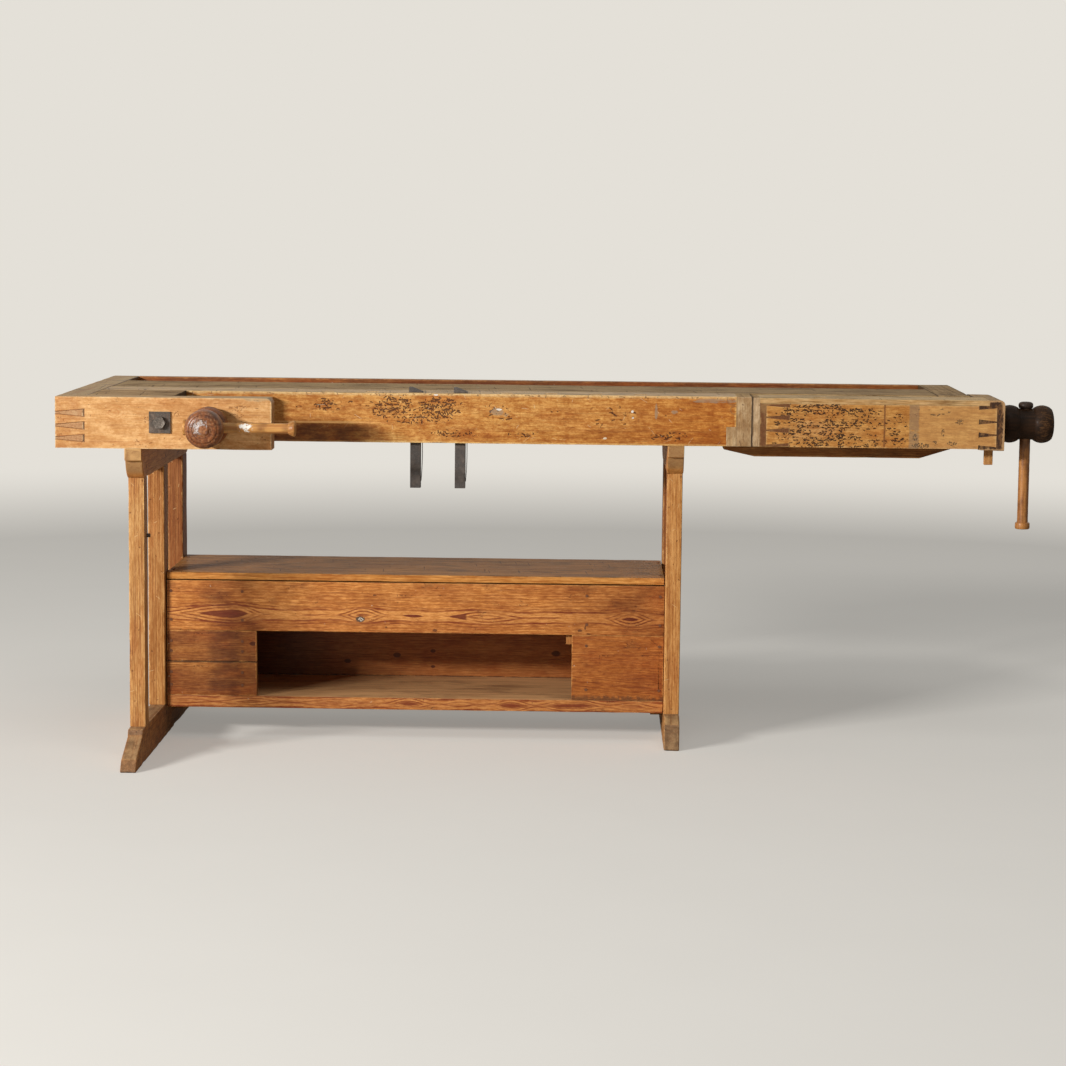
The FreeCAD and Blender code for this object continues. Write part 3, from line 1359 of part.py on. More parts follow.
def export():
    os.makedirs("parts", exist_ok=True)
    for piece in subParts:
        piece.Shape.exportStep(f"parts/{piece.Label}.step")
        box = piece.Shape.BoundBox
        print(f"{piece.Label}: {len(piece.Shape.Solids)} solids, {piece.Shape.Volume / 1000:.1f} cm3,",
              f"x {box.XMin:.1f} to {box.XMax:.1f}, y {box.YMin:.1f} to {box.YMax:.1f},",
              f"z {box.ZMin:.1f} to {box.ZMax:.1f}")


build()
check()
export()
print(len(subParts), "sub-parts")
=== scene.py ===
import json
import math

import bmesh
import bpy
from mathutils import Matrix, Vector, noise


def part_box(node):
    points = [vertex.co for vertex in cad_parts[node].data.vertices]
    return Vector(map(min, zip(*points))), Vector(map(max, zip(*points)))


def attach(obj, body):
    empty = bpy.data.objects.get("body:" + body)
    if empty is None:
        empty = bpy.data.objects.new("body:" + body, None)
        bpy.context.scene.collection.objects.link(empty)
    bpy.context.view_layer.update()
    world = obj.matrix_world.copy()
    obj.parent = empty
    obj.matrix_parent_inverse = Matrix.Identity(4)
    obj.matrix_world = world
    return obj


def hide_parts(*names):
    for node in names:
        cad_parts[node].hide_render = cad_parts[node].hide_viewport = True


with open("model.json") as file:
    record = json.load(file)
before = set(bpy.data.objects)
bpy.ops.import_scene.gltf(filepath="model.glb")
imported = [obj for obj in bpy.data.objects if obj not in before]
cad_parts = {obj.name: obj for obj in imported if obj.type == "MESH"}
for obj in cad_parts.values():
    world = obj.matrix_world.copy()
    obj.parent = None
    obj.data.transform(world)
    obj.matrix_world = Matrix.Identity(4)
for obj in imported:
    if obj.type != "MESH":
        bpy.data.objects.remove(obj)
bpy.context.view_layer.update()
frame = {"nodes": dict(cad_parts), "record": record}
nodes = frame["nodes"]
bodyOf = {
    node: body for body, members in frame["record"]["behaviour"]["bodies"].items() for node in members
}
mm = 0.001
print("frame loaded:", len(nodes), "CAD nodes")


def rgb(red, green, blue):
    # screen values 0-255 to the linear colour that the shaders use
    return tuple(
        c / 12.92 if c <= 0.04045 else ((c + 0.055) / 1.055) ** 2.4
        for c in (red / 255, green / 255, blue / 255)
    ) + (1.0,)


class Wire:
    # one shader socket; operators on it add the Math nodes
    def __init__(self, recipe, socket):
        self.recipe = recipe
        self.socket = socket

    def maths(self, operation, *values):
        return self.recipe.node("ShaderNodeMath", {"operation": operation}, dict(enumerate(values)))

    def __add__(self, other):
        return self.maths("ADD", self, other)

    def __radd__(self, other):
        return self.maths("ADD", other, self)

    def __sub__(self, other):
        return self.maths("SUBTRACT", self, other)

    def __rsub__(self, other):
        return self.maths("SUBTRACT", other, self)

    def __mul__(self, other):
        return self.maths("MULTIPLY", self, other)

    def __rmul__(self, other):
        return self.maths("MULTIPLY", other, self)

    def __truediv__(self, other):
        return self.maths("DIVIDE", self, other)

    def __abs__(self):
        return self.maths("ABSOLUTE", self)

    def root(self):
        return self.maths("SQRT", self)

    def fraction(self):
        return self.maths("FRACT", self)

    def exp(self):
        return self.maths("EXPONENT", self)

    def atMost(self, other):
        return self.maths("MINIMUM", self, other)

    def atLeast(self, other):
        return self.maths("MAXIMUM", self, other)

    def beside(self, output):
        # another output of the same node
        return Wire(self.recipe, self.socket.node.outputs[output])


class Recipe:
    # the node tree of one finish, or of the world, with the colour, height and roughness so far
    def __init__(self, name, world=False):
        self.block = (bpy.data.worlds if world else bpy.data.materials).new(name)
        self.block.use_nodes = True
        self.tree = self.block.node_tree
        self.tree.nodes.clear()
        if not world:
            self.spots = self.node("ShaderNodeTexCoord", output="Object")
            self.facing = self.parts(self.spots.beside("Normal"))
            self.front = self.step(self.facing[1], -0.5, -0.8)

    def node(self, kind, settings=None, values=None, output=0):
        made = self.tree.nodes.new(kind)
        for key, value in (settings or {}).items():
            setattr(made, key, value)
        for key, value in (values or {}).items():
            if isinstance(value, Wire):
                self.tree.links.new(value.socket, made.inputs[key])
            else:
                made.inputs[key].default_value = value
        return Wire(self, made.outputs[output]) if made.outputs else made

    def parts(self, vector):
        first = self.node("ShaderNodeSeparateXYZ", None, {0: vector})
        return [first, first.beside(1), first.beside(2)]

    def vector(self, x, y, z):
        return self.node("ShaderNodeCombineXYZ", None, {0: x, 1: y, 2: z})

    def shift(self, vector, by):
        return self.node("ShaderNodeVectorMath", {"operation": "ADD"}, {0: vector, 1: by})

    def clouds(self, vector, scale=1.0, detail=2.0, rough=0.5, twist=0.0):
        return self.node("ShaderNodeTexNoise", None, {
            "Vector": vector, "Scale": scale, "Detail": detail, "Roughness": rough, "Distortion": twist,
        })

    def step(self, value, low, high):
        # 0 at low and 1 at high, smooth between; low may be the greater of the two
        rising = low < high
        return self.node("ShaderNodeMapRange", {"interpolation_type": "SMOOTHSTEP"}, {
            "Value": value, "From Min": min(low, high), "From Max": max(low, high),
            "To Min": 0.0 if rising else 1.0, "To Max": 1.0 if rising else 0.0,
        })

    def speckle(self, scale, detail=4, rough=0.7, at=(0, 0, 0)):
        # noise over the piece; a scale of 0 leaves that axis out
        place = [axis * size + move if size else move for axis, size, move in zip(self.own, scale, at)]
        return self.clouds(self.vector(*place), detail=detail, rough=rough)

    def paint(self, amount, tone):
        self.colour = self.blend(amount, self.colour, rgb(*tone))

    def shade(self, value, low, high, dark, pale, amount=1.0):
        # multiplies the colour by dark where the value is low, and by pale where it is high
        tone = self.blend(self.step(value, low, high), (*dark, 1), (*pale, 1))
        self.colour = self.blend(amount, self.colour, tone, "MULTIPLY")

    def carve(self, mask, depth, rough=0.0):
        # sinks the masked places, depth in millimetres, and roughens them
        self.height = self.height - mask * depth
        if rough:
            self.rough = self.rough + mask * rough

    def blend(self, factor, first, second, how="MIX"):
        return self.node("ShaderNodeMix", {"data_type": "RGBA", "blend_type": how},
                         {"Factor": factor, 6: first, 7: second}, output=2)

    def surface(self, metallic=0.0, coat=0.0, shine=0.5):
        # the height is in millimetres
        bump = self.node("ShaderNodeBump", None, {"Distance": mm, "Height": self.height})
        shader = self.node("ShaderNodeBsdfPrincipled", None, {
            "Base Color": self.colour, "Roughness": self.rough, "Metallic": metallic, "Coat Weight": coat,
            "Coat Roughness": 0.25, "Specular IOR Level": shine, "Normal": bump,
        })
        self.node("ShaderNodeOutputMaterial", None, {"Surface": shader})
        return self.block


# timber: colours on the screen's 0-255 scale, lengths in millimetres
plainTimber = {
    "edgeWidth": 3, "edgeShare": 0.5, "spacing": 2.6, "dashes": 0.9, "mottle": 0.8, "rings": 0.6,
    "streaks": 0.8, "flecks": 0.8, "stains": 0.7, "coat": 0.0, "shine": 0.22, "streakLength": 190,
    "dashLength": 42, "topShare": 0.95,
}
timbers = {
    "honeyPine": {
        "early": (213, 169, 117), "late": (182, 126, 74), "fibre": (142, 88, 48), "stain": (186, 122, 64),
        "end": (172, 125, 77), "top": (176, 149, 104), "knot": (112, 61, 28), "edge": (224, 196, 151),
        "edgeWidth": 4, "edgeShare": 0.6, "spacing": 3.0, "bend": 22, "dashes": 0.3, "mottle": 1.0,
        "rings": 0.35, "streaks": 0.22, "flecks": 0.7, "stains": 0.5, "rough": 0.5, "coat": 0.1,
    },
    "beamPine": {
        "early": (200, 150, 87), "late": (167, 111, 54), "fibre": (118, 70, 35), "stain": (171, 103, 41),
        "end": (160, 112, 62), "top": (212, 182, 138), "knot": (96, 49, 23), "edge": (223, 194, 141),
        "edgeWidth": 5, "edgeShare": 0.8, "bend": 24, "dashes": 0.4, "mottle": 1.0, "rings": 0.3,
        "streaks": 0.28, "stains": 0.8, "rough": 0.48, "coat": 0.1,
    },
    "orangePine": {
        "early": (204, 147, 84), "late": (162, 96, 44), "fibre": (120, 67, 32), "stain": (170, 102, 48),
        "end": (166, 127, 81), "top": (186, 150, 99), "knot": (92, 45, 21), "edge": (222, 176, 113),
        "edgeWidth": 3.5, "edgeShare": 0.55, "spacing": 3.0, "bend": 8, "dashes": 0.8, "rings": 0.65,
        "streaks": 0.5, "stains": 0.5, "rough": 0.52, "coat": 0.06,
    },
    "redPine": {
        "early": (190, 123, 62), "late": (124, 59, 23), "fibre": (104, 53, 25), "stain": (150, 80, 33),
        "end": (142, 90, 46), "top": (151, 108, 63), "knot": (70, 29, 12), "edge": (212, 153, 86),
        "edgeWidth": 2.2, "edgeShare": 0.55, "bend": 12, "rings": 0.8, "streaks": 0.45, "flecks": 0.6,
        "rough": 0.48, "coat": 0.12,
    },
    "wornTop": {
        "early": (160, 131, 92), "late": (126, 98, 65), "fibre": (84, 65, 44), "stain": (112, 88, 60),
        "end": (140, 110, 74), "top": (200, 170, 130), "knot": (78, 51, 32), "edge": (188, 157, 109),
        "spacing": 3.4, "bend": 20, "flecks": 0.9, "rough": 0.66, "shine": 0.06,
    },
    "greyHardwood": {
        "early": (190, 163, 126), "late": (160, 130, 95), "fibre": (116, 88, 61), "stain": (151, 118, 80),
        "end": (170, 133, 88), "top": (202, 169, 119), "knot": (120, 51, 30), "edge": (200, 177, 143),
        "edgeWidth": 2.5, "spacing": 2.0, "bend": 26, "dashes": 0.45, "rings": 0.2, "streaks": 0.35,
        "flecks": 1.0, "rough": 0.58,
    },
    "brownHardwood": {
        "early": (146, 100, 56), "late": (104, 65, 33), "fibre": (66, 41, 23), "stain": (112, 71, 37),
        "end": (118, 74, 42), "top": (189, 155, 106), "knot": (60, 31, 16), "edge": (190, 153, 100),
        "bend": 16, "rough": 0.54, "coat": 0.04,
    },
}


def timber(name, kind, box, grain, seed=0, pith=(60, -90), lean=(0, 0), knots=(), seams=(), marks=None,
           **changes):
    look = {**plainTimber, **timbers[kind], **changes}
    recipe = Recipe(name)
    low, high = box
    centre, half = (low + high) / 2, (high - low) / 2
    own = recipe.parts(recipe.shift(recipe.spots, -centre))
    recipe.own, recipe.half = own, half
    order = {"x": (0, 1, 2), "y": (1, 0, 2), "z": (2, 0, 1)}[grain]
    along, across, up = (own[axis] for axis in order)

    def field(length, width, detail=3, rough=0.6, offset=0):
        # noise stretched along the grain, one unit about each length and width in millimetres
        place = recipe.vector(along * (1000 / length) + (seed * 7.3 + offset), across * (1000 / width) + seed,
                              up * (1000 / width) + offset)
        return recipe.clouds(place, detail=detail, rough=rough)

    # yearly rings about a wandering pith line
    bend = look["bend"] * mm
    a = across - pith[0] * mm + along * lean[0] + (field(700, 260, 1.5, 0.5) - 0.5) * bend
    b = up - pith[1] * mm + along * lean[1] + (field(800, 260, 1.5, 0.5, 20) - 0.5) * bend
    radius = (a * a + b * b).root()
    knotMask = None
    for spot in knots:
        # a knot is (share along, share up, radius) on the board's front or top
        size = spot[2] * mm
        da = (along - (spot[0] * 2 - 1) * half[order[0]]) / (size * 1.5)
        db = (up - (spot[1] * 2 - 1) * half[order[2]]) / size
        far = da * da + db * db
        radius = radius + (far * -0.22).exp() * size * 1.1
        mask = recipe.step(far, 1.2, 0.5)
        knotMask = mask if knotMask is None else knotMask.atLeast(mask)
    phase = radius / (look["spacing"] * mm) + (field(160, 14, 2, 0.5, 3) - 0.5) * 0.9
    ring = phase.fraction()
    year = recipe.node("ShaderNodeTexWhiteNoise", {"noise_dimensions": "1D"},
                       {"W": phase.maths("FLOOR", phase)})
    late = recipe.step(ring, 0.42, 0.86) * recipe.step(ring, 1.0, 0.94) * (year * 0.75 + 0.25)

    streak = field(look["streakLength"], 3.4, 4, 0.68, 5)
    fine = field(60, 1.3, 2, 0.6, 7)
    fleck = field(17, 2.6, 2, 0.55, 11)
    stain = field(150, 60, 4, 0.6, 13)
    patch = field(420, 110, 3, 0.55, 17)
    dash = field(look["dashLength"], 2.0, 3, 0.65, 29)
    mottle = field(look["dashLength"], 19, 4, 0.65, 31)
    recipe.colour = recipe.blend(late * look["rings"], rgb(*look["early"]), rgb(*look["late"]))
    recipe.paint(recipe.step(stain, 0.44, 0.72) * look["stains"], look["stain"])
    recipe.paint(recipe.step(patch, 0.55, 0.72) * look["stains"] * 0.5, look["late"])
    recipe.paint(recipe.step(patch, 0.46, 0.30) * 0.3, look["edge"])
    recipe.paint(recipe.step(streak, 0.53, 0.70) * look["streaks"], look["fibre"])
    recipe.paint(recipe.step(streak, 0.44, 0.30) * look["streaks"] * 0.5, look["edge"])
    recipe.paint(recipe.step(fine, 0.50, 0.72) * 0.28, look["fibre"])
    flecks = recipe.step(fleck + (stain - 0.5) * 0.25, 0.67, 0.74) * look["flecks"]
    recipe.paint(flecks * 0.75, look["fibre"])
    recipe.shade(dash, 0.36, 0.64, (0.74, 0.64, 0.50), (1.15, 1.18, 1.18), look["dashes"])
    recipe.shade(mottle, 0.38, 0.62, (0.86, 0.76, 0.62), (1.08, 1.09, 1.08), look["mottle"])
    if knotMask is not None:
        recipe.paint(knotMask * 0.85, look["knot"])

    # faces across the grain, the upper faces, and the corners
    facing = recipe.facing
    endOn = recipe.step(abs(facing[order[0]]), 0.6, 0.85)
    pores = field(14, 2.2, 3, 0.6, 23)
    endColour = recipe.blend(recipe.step(pores, 0.42, 0.68) * 0.6, rgb(*look["end"]), rgb(*look["fibre"]))
    endColour = recipe.blend(late * 0.4, endColour, rgb(*look["fibre"]))
    endColour = recipe.blend(recipe.step(stain, 0.5, 0.3) * 0.4, endColour, rgb(*look["edge"]))
    recipe.colour = recipe.blend(endOn, recipe.colour, endColour)
    # the upper faces take the timber's top colour: worn grey wood, partly made paler as painted light on the
    # tops
    upward = recipe.step(facing[2], 0.6, 0.9)
    flat = recipe.vector(along * 3.2 + seed, across * 95, up * 5)
    lines = recipe.clouds(flat, detail=4, rough=0.7)
    dirt = recipe.speckle((7, 16, 16), 4, 0.65, at=(seed, 0, 0))
    topColour = recipe.blend(recipe.step(lines, 0.48, 0.66) * 0.55, rgb(*look["top"]), rgb(*look["fibre"]))
    topColour = recipe.blend(recipe.step(lines, 0.46, 0.30) * 0.4, topColour, rgb(*look["edge"]))
    topColour = recipe.blend(recipe.step(dirt, 0.47, 0.70) * 0.45, topColour, rgb(92, 72, 54))
    topColour = recipe.blend(0.18, topColour, recipe.colour)
    recipe.colour = recipe.blend(upward * look["topShare"], recipe.colour, topColour)
    inset = [half[axis] - abs(own[axis]) for axis in range(3)]
    pair = inset[0].atMost(inset[1])
    edge = pair.atLeast(inset[0].atLeast(inset[1]).atMost(inset[2]))
    rub = recipe.speckle((34, 34, 34), 4, 0.65, at=(0, 0, seed))
    rubbed = recipe.step(edge - (rub - 0.5) * 0.014, look["edgeWidth"] * mm, 0)
    recipe.paint(rubbed * look["edgeShare"] * (1 - upward * 0.5), look["edge"])

    for side in seams:
        # dirt along a joint with the next board
        axis = "xyz".index(side[1])
        gap = half[axis] - (own[axis] if side[0] == "+" else 0 - own[axis])
        recipe.paint(recipe.step(gap + (rub - 0.5) * 0.005, 0.0035, 0.0010) * 0.8, (52, 34, 22))

    recipe.height = late * 0.15 + stain * 0.9 - recipe.step(streak, 0.55, 0.75) * 0.25 - flecks * 0.3
    recipe.carve(upward * recipe.step(lines, 0.5, 0.7), 0.4)
    rough = late * -0.06 + fine * 0.18 + (look["rough"] - 0.06)
    recipe.rough = rough + upward * 0.12 + endOn * 0.1 + flecks * 0.1
    if marks:
        marks(recipe)
    return recipe.surface(coat=look["coat"], shine=look["shine"])


def strokes(recipe, size, length, width, density, tilt=0.35, upright=0.15, seed=0):
    # short cuts on a front face, one at most to each cell of the given size in millimetres;
    # density is a share of the cells, tilt is in turns, upright is the share that stand on end
    own = recipe.own
    wave = recipe.speckle((150, 0, 150), 2, 0.5, at=(0, seed, 0)) - 0.5
    x = own[0] * (1000 / size) + wave * (1.6 / size) + seed * 3.7
    z = own[2] * (1000 / size) + wave * (3.2 / size) + seed
    plane = recipe.vector(x, z, 0)
    settings = {"voronoi_dimensions": "2D", "feature": "F1"}
    cell = recipe.node("ShaderNodeTexVoronoi", settings, {"Vector": plane, "Scale": 1.0}, output="Position")
    centre, chance = recipe.parts(cell), recipe.parts(cell.beside("Color"))
    dx, dz = x - centre[0], z - centre[1]
    stand = chance[2].maths("LESS_THAN", chance[2], upright)
    angle = (chance[0] - 0.5) * (tilt * 2 * math.pi) + stand * (math.pi / 2)
    cosine, sine = angle.maths("COSINE", angle), angle.maths("SINE", angle)
    u = abs(dx * cosine + dz * sine) * size
    v = abs(dz * cosine - dx * sine) * size
    reach = (chance[2] * 0.8 + 0.5) * length
    thin = recipe.step(u / reach, 1.0, 0.55) * recipe.step(v, width, width * 0.45)
    return thin * recipe.step(density - chance[1], 0.0, 0.08)


def around(recipe, x, z, wide, high):
    # 1 near the place x, z in millimetres on the front, falling away to 0 at wide and high
    own = recipe.own
    dx, dz = (own[0] - x * mm) / (wide * mm), (own[2] - z * mm) / (high * mm)
    return recipe.step((dx * dx + dz * dz).root(), 1.0, 0.35)


def clumps(recipe, places):
    # the strongest of several soft ellipses, each x, z, wide, high and weight
    found = None
    for x, z, wide, high, weight in places:
        one = around(recipe, x, z, wide, high) * weight
        found = one if found is None else found.atLeast(one)
    return found


beamCuts = {
    # x and z from the beam's middle, half width, half height, share of cells cut
    "clumps": [(-60, 24, 75, 40, 0.75), (48, 24, 75, 34, 0.95), (-8, 6, 130, 30, 0.55),
               (190, 16, 52, 30, 0.5),
               (81, -35, 80, 12, 0.65), (250, -34, 58, 11, 0.5), (600, -37, 70, 15, 0.6),
               (-222, 32, 34, 24, 0.55), (-190, 26, 130, 22, 0.28), (330, 12, 60, 24, 0.12),
               (470, 10, 110, 44, 0.2), (610, 20, 90, 30, 0.14)],
    "white": [(40, 55, 8, 3), (504, 21, 5, 5), (505, 6, 3, 3), (440, -43, 7, 4), (190, 22, 12, 4)],
    "grey": [(192, 15, 44, 20), (604, 21, 14, 9), (560, 20, 6, 32), (700, 48, 90, 9)],
    "arch": [(740, 52, 13), (744, 27, 9)],
}


def beamMarks(recipe):
    own, half = recipe.own, recipe.half
    front = recipe.front
    ragged = recipe.speckle((26, 5, 50), 4, 0.65)
    share = clumps(recipe, beamCuts["clumps"]) * ((ragged - 0.5) * 2.2 + 1) + (ragged - 0.62) * 0.8
    cuts = strokes(recipe, 9, 6, 1.7, share, tilt=0.25, seed=1)
    cuts = cuts.atLeast(strokes(recipe, 14, 9, 2.1, share - 0.06, tilt=0.2, seed=2))
    cuts = cuts.atLeast(strokes(recipe, 6, 3.2, 1.5, share * 0.9, tilt=1, seed=3)) * front
    recipe.paint(cuts * 0.9, (74, 42, 27))
    lit = recipe.speckle((30, 1, 110), 3, at=(0, 0, 9))
    recipe.shade(lit, 0.38, 0.60, (0.78, 0.60, 0.40), (1.10, 1.12, 1.12), front * 0.8)
    recipe.shade(own[0], 0.30, 0.70, (1.04, 1.07, 1.10), (0.88, 0.72, 0.50), front)
    # broken arrises
    edge = half[2] - own[2] + (ragged - 0.5) * 0.012
    recipe.paint(recipe.step(edge, 0.009, 0.003) * front * 0.7, (216, 184, 132))
    nicks = strokes(recipe, 9, 4.5, 1.6, recipe.step(edge, 0.013, 0.004) * 0.35, tilt=0.5, seed=8) * front
    recipe.paint(nicks * 0.75, (112, 84, 58))
    edge = own[2] + half[2] + (ragged - 0.5) * 0.008
    recipe.paint(recipe.step(edge, 0.006, 0.002) * front * 0.75, (226, 190, 130))
    # the old finish is worn to pale and orange flakes
    flake = recipe.speckle((110, 1, 190), 4, 0.8)
    recipe.shade(flake, 0.40, 0.60, (0.84, 0.68, 0.48), (1.12, 1.14, 1.12), front * 0.8)
    scratch = strokes(recipe, 24, 13, 0.7, recipe.step(ragged, 0.42, 0.6) * 0.35, seed=6, upright=0.4)
    recipe.paint(scratch * front * 0.5, (226, 206, 170))
    grey = clumps(recipe, [(*place, 1) for place in beamCuts["grey"]])
    grey = recipe.step(grey * 0.4 + ragged, 0.74, 0.84) * front
    recipe.paint(grey * 0.6, (150, 134, 112))
    for x, z, radius in beamCuts["arch"]:
        dx, dz = own[0] - x * mm, own[2] - z * mm
        ring = abs((dx * dx + dz * dz).root() - radius * mm)
        recipe.paint(recipe.step(ring, 0.0022, 0.0008) * front * 0.5, (120, 86, 58))
    white = clumps(recipe, [(*place, 1) for place in beamCuts["white"]])
    recipe.paint(recipe.step(white * 0.5 + ragged, 0.78, 0.86) * front, (226, 218, 206))
    # the lower part of the right half is darker
    low = recipe.step(own[2] + (ragged - 0.5) * 0.03, -0.018, -0.034) * front
    low = low * recipe.step(own[0], 0.02, 0.16)
    recipe.shade(ragged, 0.3, 0.7, (0.72, 0.58, 0.42), (0.96, 0.90, 0.80), low)
    # painted shadow: at the left a dark band runs along the lower beam, standing for the vise arm's shadow,
    # with a painted highlight along its upper edge
    left = recipe.step(own[0] + (ragged - 0.5) * 0.05, -0.04, -0.17) * front
    below = own[2] + 0.015
    band = recipe.step(below, 0.0015, -0.0015) * left
    recipe.shade(ragged, 0.3, 0.7, (0.30, 0.20, 0.14), (0.62, 0.48, 0.36), band)
    # painted highlight along the upper edge of the painted shadow
    recipe.paint(recipe.step(abs(below - 0.003), 0.0030, 0.0010) * left * 0.5, (226, 176, 112))
    recipe.shade(own[0], -0.42, -0.10, (0.84, 0.82, 0.80), (1, 1, 1), front)
    recipe.carve(cuts, 1.1, 0.15)
    topMarks(recipe)


boardCuts = {
    "clumps": [(-150, -22, 140, 26, 1.1), (-110, 6, 130, 18, 1.0), (-150, 40, 130, 22, 1.1),
               (-60, 34, 100, 16, 0.8),
               (-150, -46, 140, 12, 0.7), (-210, 10, 60, 50, 0.8), (38, -6, 44, 56, 0.6),
               (-40, -36, 70, 18, 0.8),
               (110, 36, 70, 16, 0.5), (-20, 6, 50, 40, 0.4)],
    "blots": [(-97, -24, 13, 7), (145, -11, 6, 16), (127, -38, 9, 7), (167, -38, 16, 7), (-94, -42, 12, 12),
              (184, 12, 12, 9), (96, -44, 30, 8), (80, -26, 8, 12)],
}


def boardMarks(recipe):
    # many small cuts over the left half, two bands across, strays and dark blots to the right
    own = recipe.own
    front = recipe.front
    ragged = recipe.speckle((30, 5, 60), 4, 0.65, at=(0, 0, 2))
    share = clumps(recipe, boardCuts["clumps"]) * ((ragged - 0.5) * 2.2 + 1) + (ragged - 0.56) * 0.9
    rows = recipe.speckle((16, 1, 95), 2, 0.5, at=(0, 0, 4))
    share = share * recipe.step(rows, 0.36, 0.56)
    cuts = strokes(recipe, 7, 5.2, 1.7, share, tilt=0.16, seed=11, upright=0.06)
    cuts = cuts.atLeast(strokes(recipe, 5, 2.6, 1.1, share * 0.5, tilt=1, seed=12))
    cuts = cuts.atLeast(strokes(recipe, 12, 7, 2.2, share - 0.25, tilt=0.3, seed=13))
    blots = clumps(recipe, [(*place, 1.4) for place in boardCuts["blots"]])
    cuts = cuts.atLeast(strokes(recipe, 5, 3.6, 1.8, blots - 0.1, tilt=0.8, seed=14)) * front
    recipe.paint(cuts * 0.95, (44, 24, 14))
    flake = recipe.speckle((60, 1, 150), 4, 0.75, at=(0, 0, 9))
    recipe.shade(flake, 0.40, 0.60, (0.84, 0.72, 0.56), (1.16, 1.18, 1.18), front * 0.8)
    wander = (ragged - 0.5) * 0.006
    band = recipe.step(abs(own[0] + wander - 0.077), 0.013, 0.010) * recipe.step(ragged, 0.30, 0.42) * front
    recipe.paint(band * 0.6, (140, 118, 92))
    line = recipe.step(abs(own[0] + wander - 0.0075), 0.0032, 0.0010) * recipe.step(ragged, 0.34, 0.46)
    recipe.paint(line * front * 0.75, (104, 62, 36))
    pale = recipe.step(own[0], 0.086, 0.092) * front * 0.25
    recipe.paint(pale, (214, 172, 116))
    recipe.carve(cuts, 1.1, 0.15)


def endBlockMarks(recipe):
    # dark, broken middle within pale worn borders
    own, half = recipe.own, recipe.half
    front = recipe.front
    ragged = recipe.speckle((90, 20, 34))
    border = (half[0] - own[0]).atMost(half[2] - own[2]).atMost(own[2] + half[2])
    worn = recipe.step(border + (ragged - 0.5) * 0.016, 0.0075, 0.0030)
    recipe.paint(worn * front * 0.8, (190, 150, 106))
    dark = recipe.step(ragged, 0.44, 0.56) * (1 - worn) * front
    recipe.paint(dark * 0.9, (54, 34, 24))
    topMarks(recipe)


def facingMarks(recipe):
    # greyed, scuffed end grain with dark pores near the top
    own, half = recipe.own, recipe.half
    front = recipe.front
    ragged = recipe.speckle((60, 30, 40), 4, 0.75)
    recipe.shade(ragged, 0.38, 0.62, (0.80, 0.74, 0.68), (1.10, 1.10, 1.12), 0.9)
    share = recipe.step(own[2], half[2] - 0.040, half[2] - 0.010) * (ragged - 0.3)
    cuts = strokes(recipe, 8, 4, 1.3, share, tilt=1, seed=17) * front
    recipe.paint(cuts * 0.6, (104, 76, 52))
    scratch = strokes(recipe, 16, 8, 0.6, 0.4, tilt=0.2, upright=0.8, seed=18) * front
    recipe.paint(scratch * 0.4, (216, 190, 152))
    recipe.carve(cuts, 0.6)


armPlaces = {
    "tears": [(-37, 7, 10, 15), (-103, 54, 8, 8), (175, 37, 36, 9), (172, 20, 34, 7), (228, -32, 10, 7),
              (-60, -44, 9, 12), (30, 22, 8, 10)],
    "swirl": (-110, 22, 36, 24),
}


def armMarks(recipe):
    # specks and small tears, grime round the pins, painted shade under the hub to the right of the washer, a
    # worn grey end
    own, half = recipe.own, recipe.half
    front = recipe.front
    ragged = recipe.speckle((30, 24, 62))
    share = (ragged - 0.5) * 1.6
    tears = clumps(recipe, [(*place, 0.8) for place in armPlaces["tears"]])
    cuts = strokes(recipe, 9, 4.4, 0.8, share + tears, tilt=0.25, seed=21)
    cuts = cuts.atLeast(strokes(recipe, 5, 1.6, 0.9, share * 0.8 + tears, tilt=1, seed=22)) * front
    recipe.paint(cuts * 0.7, (134, 76, 40))
    flake = recipe.speckle((90, 1, 150), 4, 0.8, at=(0, 0, 5))
    recipe.shade(flake, 0.40, 0.60, (0.88, 0.74, 0.56), (1.08, 1.09, 1.08), front * 0.7)
    x, z, wide, high = armPlaces["swirl"]
    dx, dz = (own[0] - x * mm) / (wide * mm), (own[2] - z * mm) / (high * mm)
    turn = ((dx * dx + dz * dz).root() * 3.4 + (dx - dz) * 0.6 + ragged * 1.6).fraction()
    swirl = around(recipe, x, z, wide, high) * recipe.step(turn, 0.66, 0.9) * front
    recipe.paint(swirl * 0.5, (184, 112, 56))
    across = (own[0] + half[0]) / (66 * mm)
    outline = None
    for share in (0.3136, 0.5593, 0.8051):
        gap = abs(own[2] - half[2] * (1 - 2 * share)) - (across * 6.3 + 1.6) * mm
        gap = abs(gap).atMost(abs(across - 1.005) * 0.066 + gap.atLeast(0) * 9)
        outline = gap if outline is None else outline.atMost(gap)
    dirty = recipe.step(outline, 0.0026, 0.0010) * recipe.step(across, 1.05, 1.02) * front
    recipe.paint(dirty * 0.8, (96, 56, 32))
    pins = recipe.step(own[0], 0.070 - half[0], 0.056 - half[0]) * recipe.step(ragged, 0.40, 0.62)
    recipe.paint(pins * front * 0.4, (160, 94, 48))
    # painted shade: the arm's lower right is darkened, standing for the shadow of the hub and tommy bar
    low = recipe.step(own[2] + (ragged - 0.5) * 0.05, -0.030, -0.052) * recipe.step(own[0], -0.05, 0.1)
    recipe.shade(ragged, 0.3, 0.7, (0.66, 0.48, 0.32), (1, 1, 1), low * front * 0.8)
    # the upper right corner is greyed by handling
    far = recipe.step(own[0], half[0] - 0.120, half[0] - 0.020) * recipe.step(own[2], half[2] - 0.016,
                                                                              half[2])
    handled = recipe.step(ragged + far * 0.30, 0.66, 0.80)
    recipe.paint(handled * 0.6, (176, 150, 112))
    recipe.carve(cuts, 0.9, 0.1)


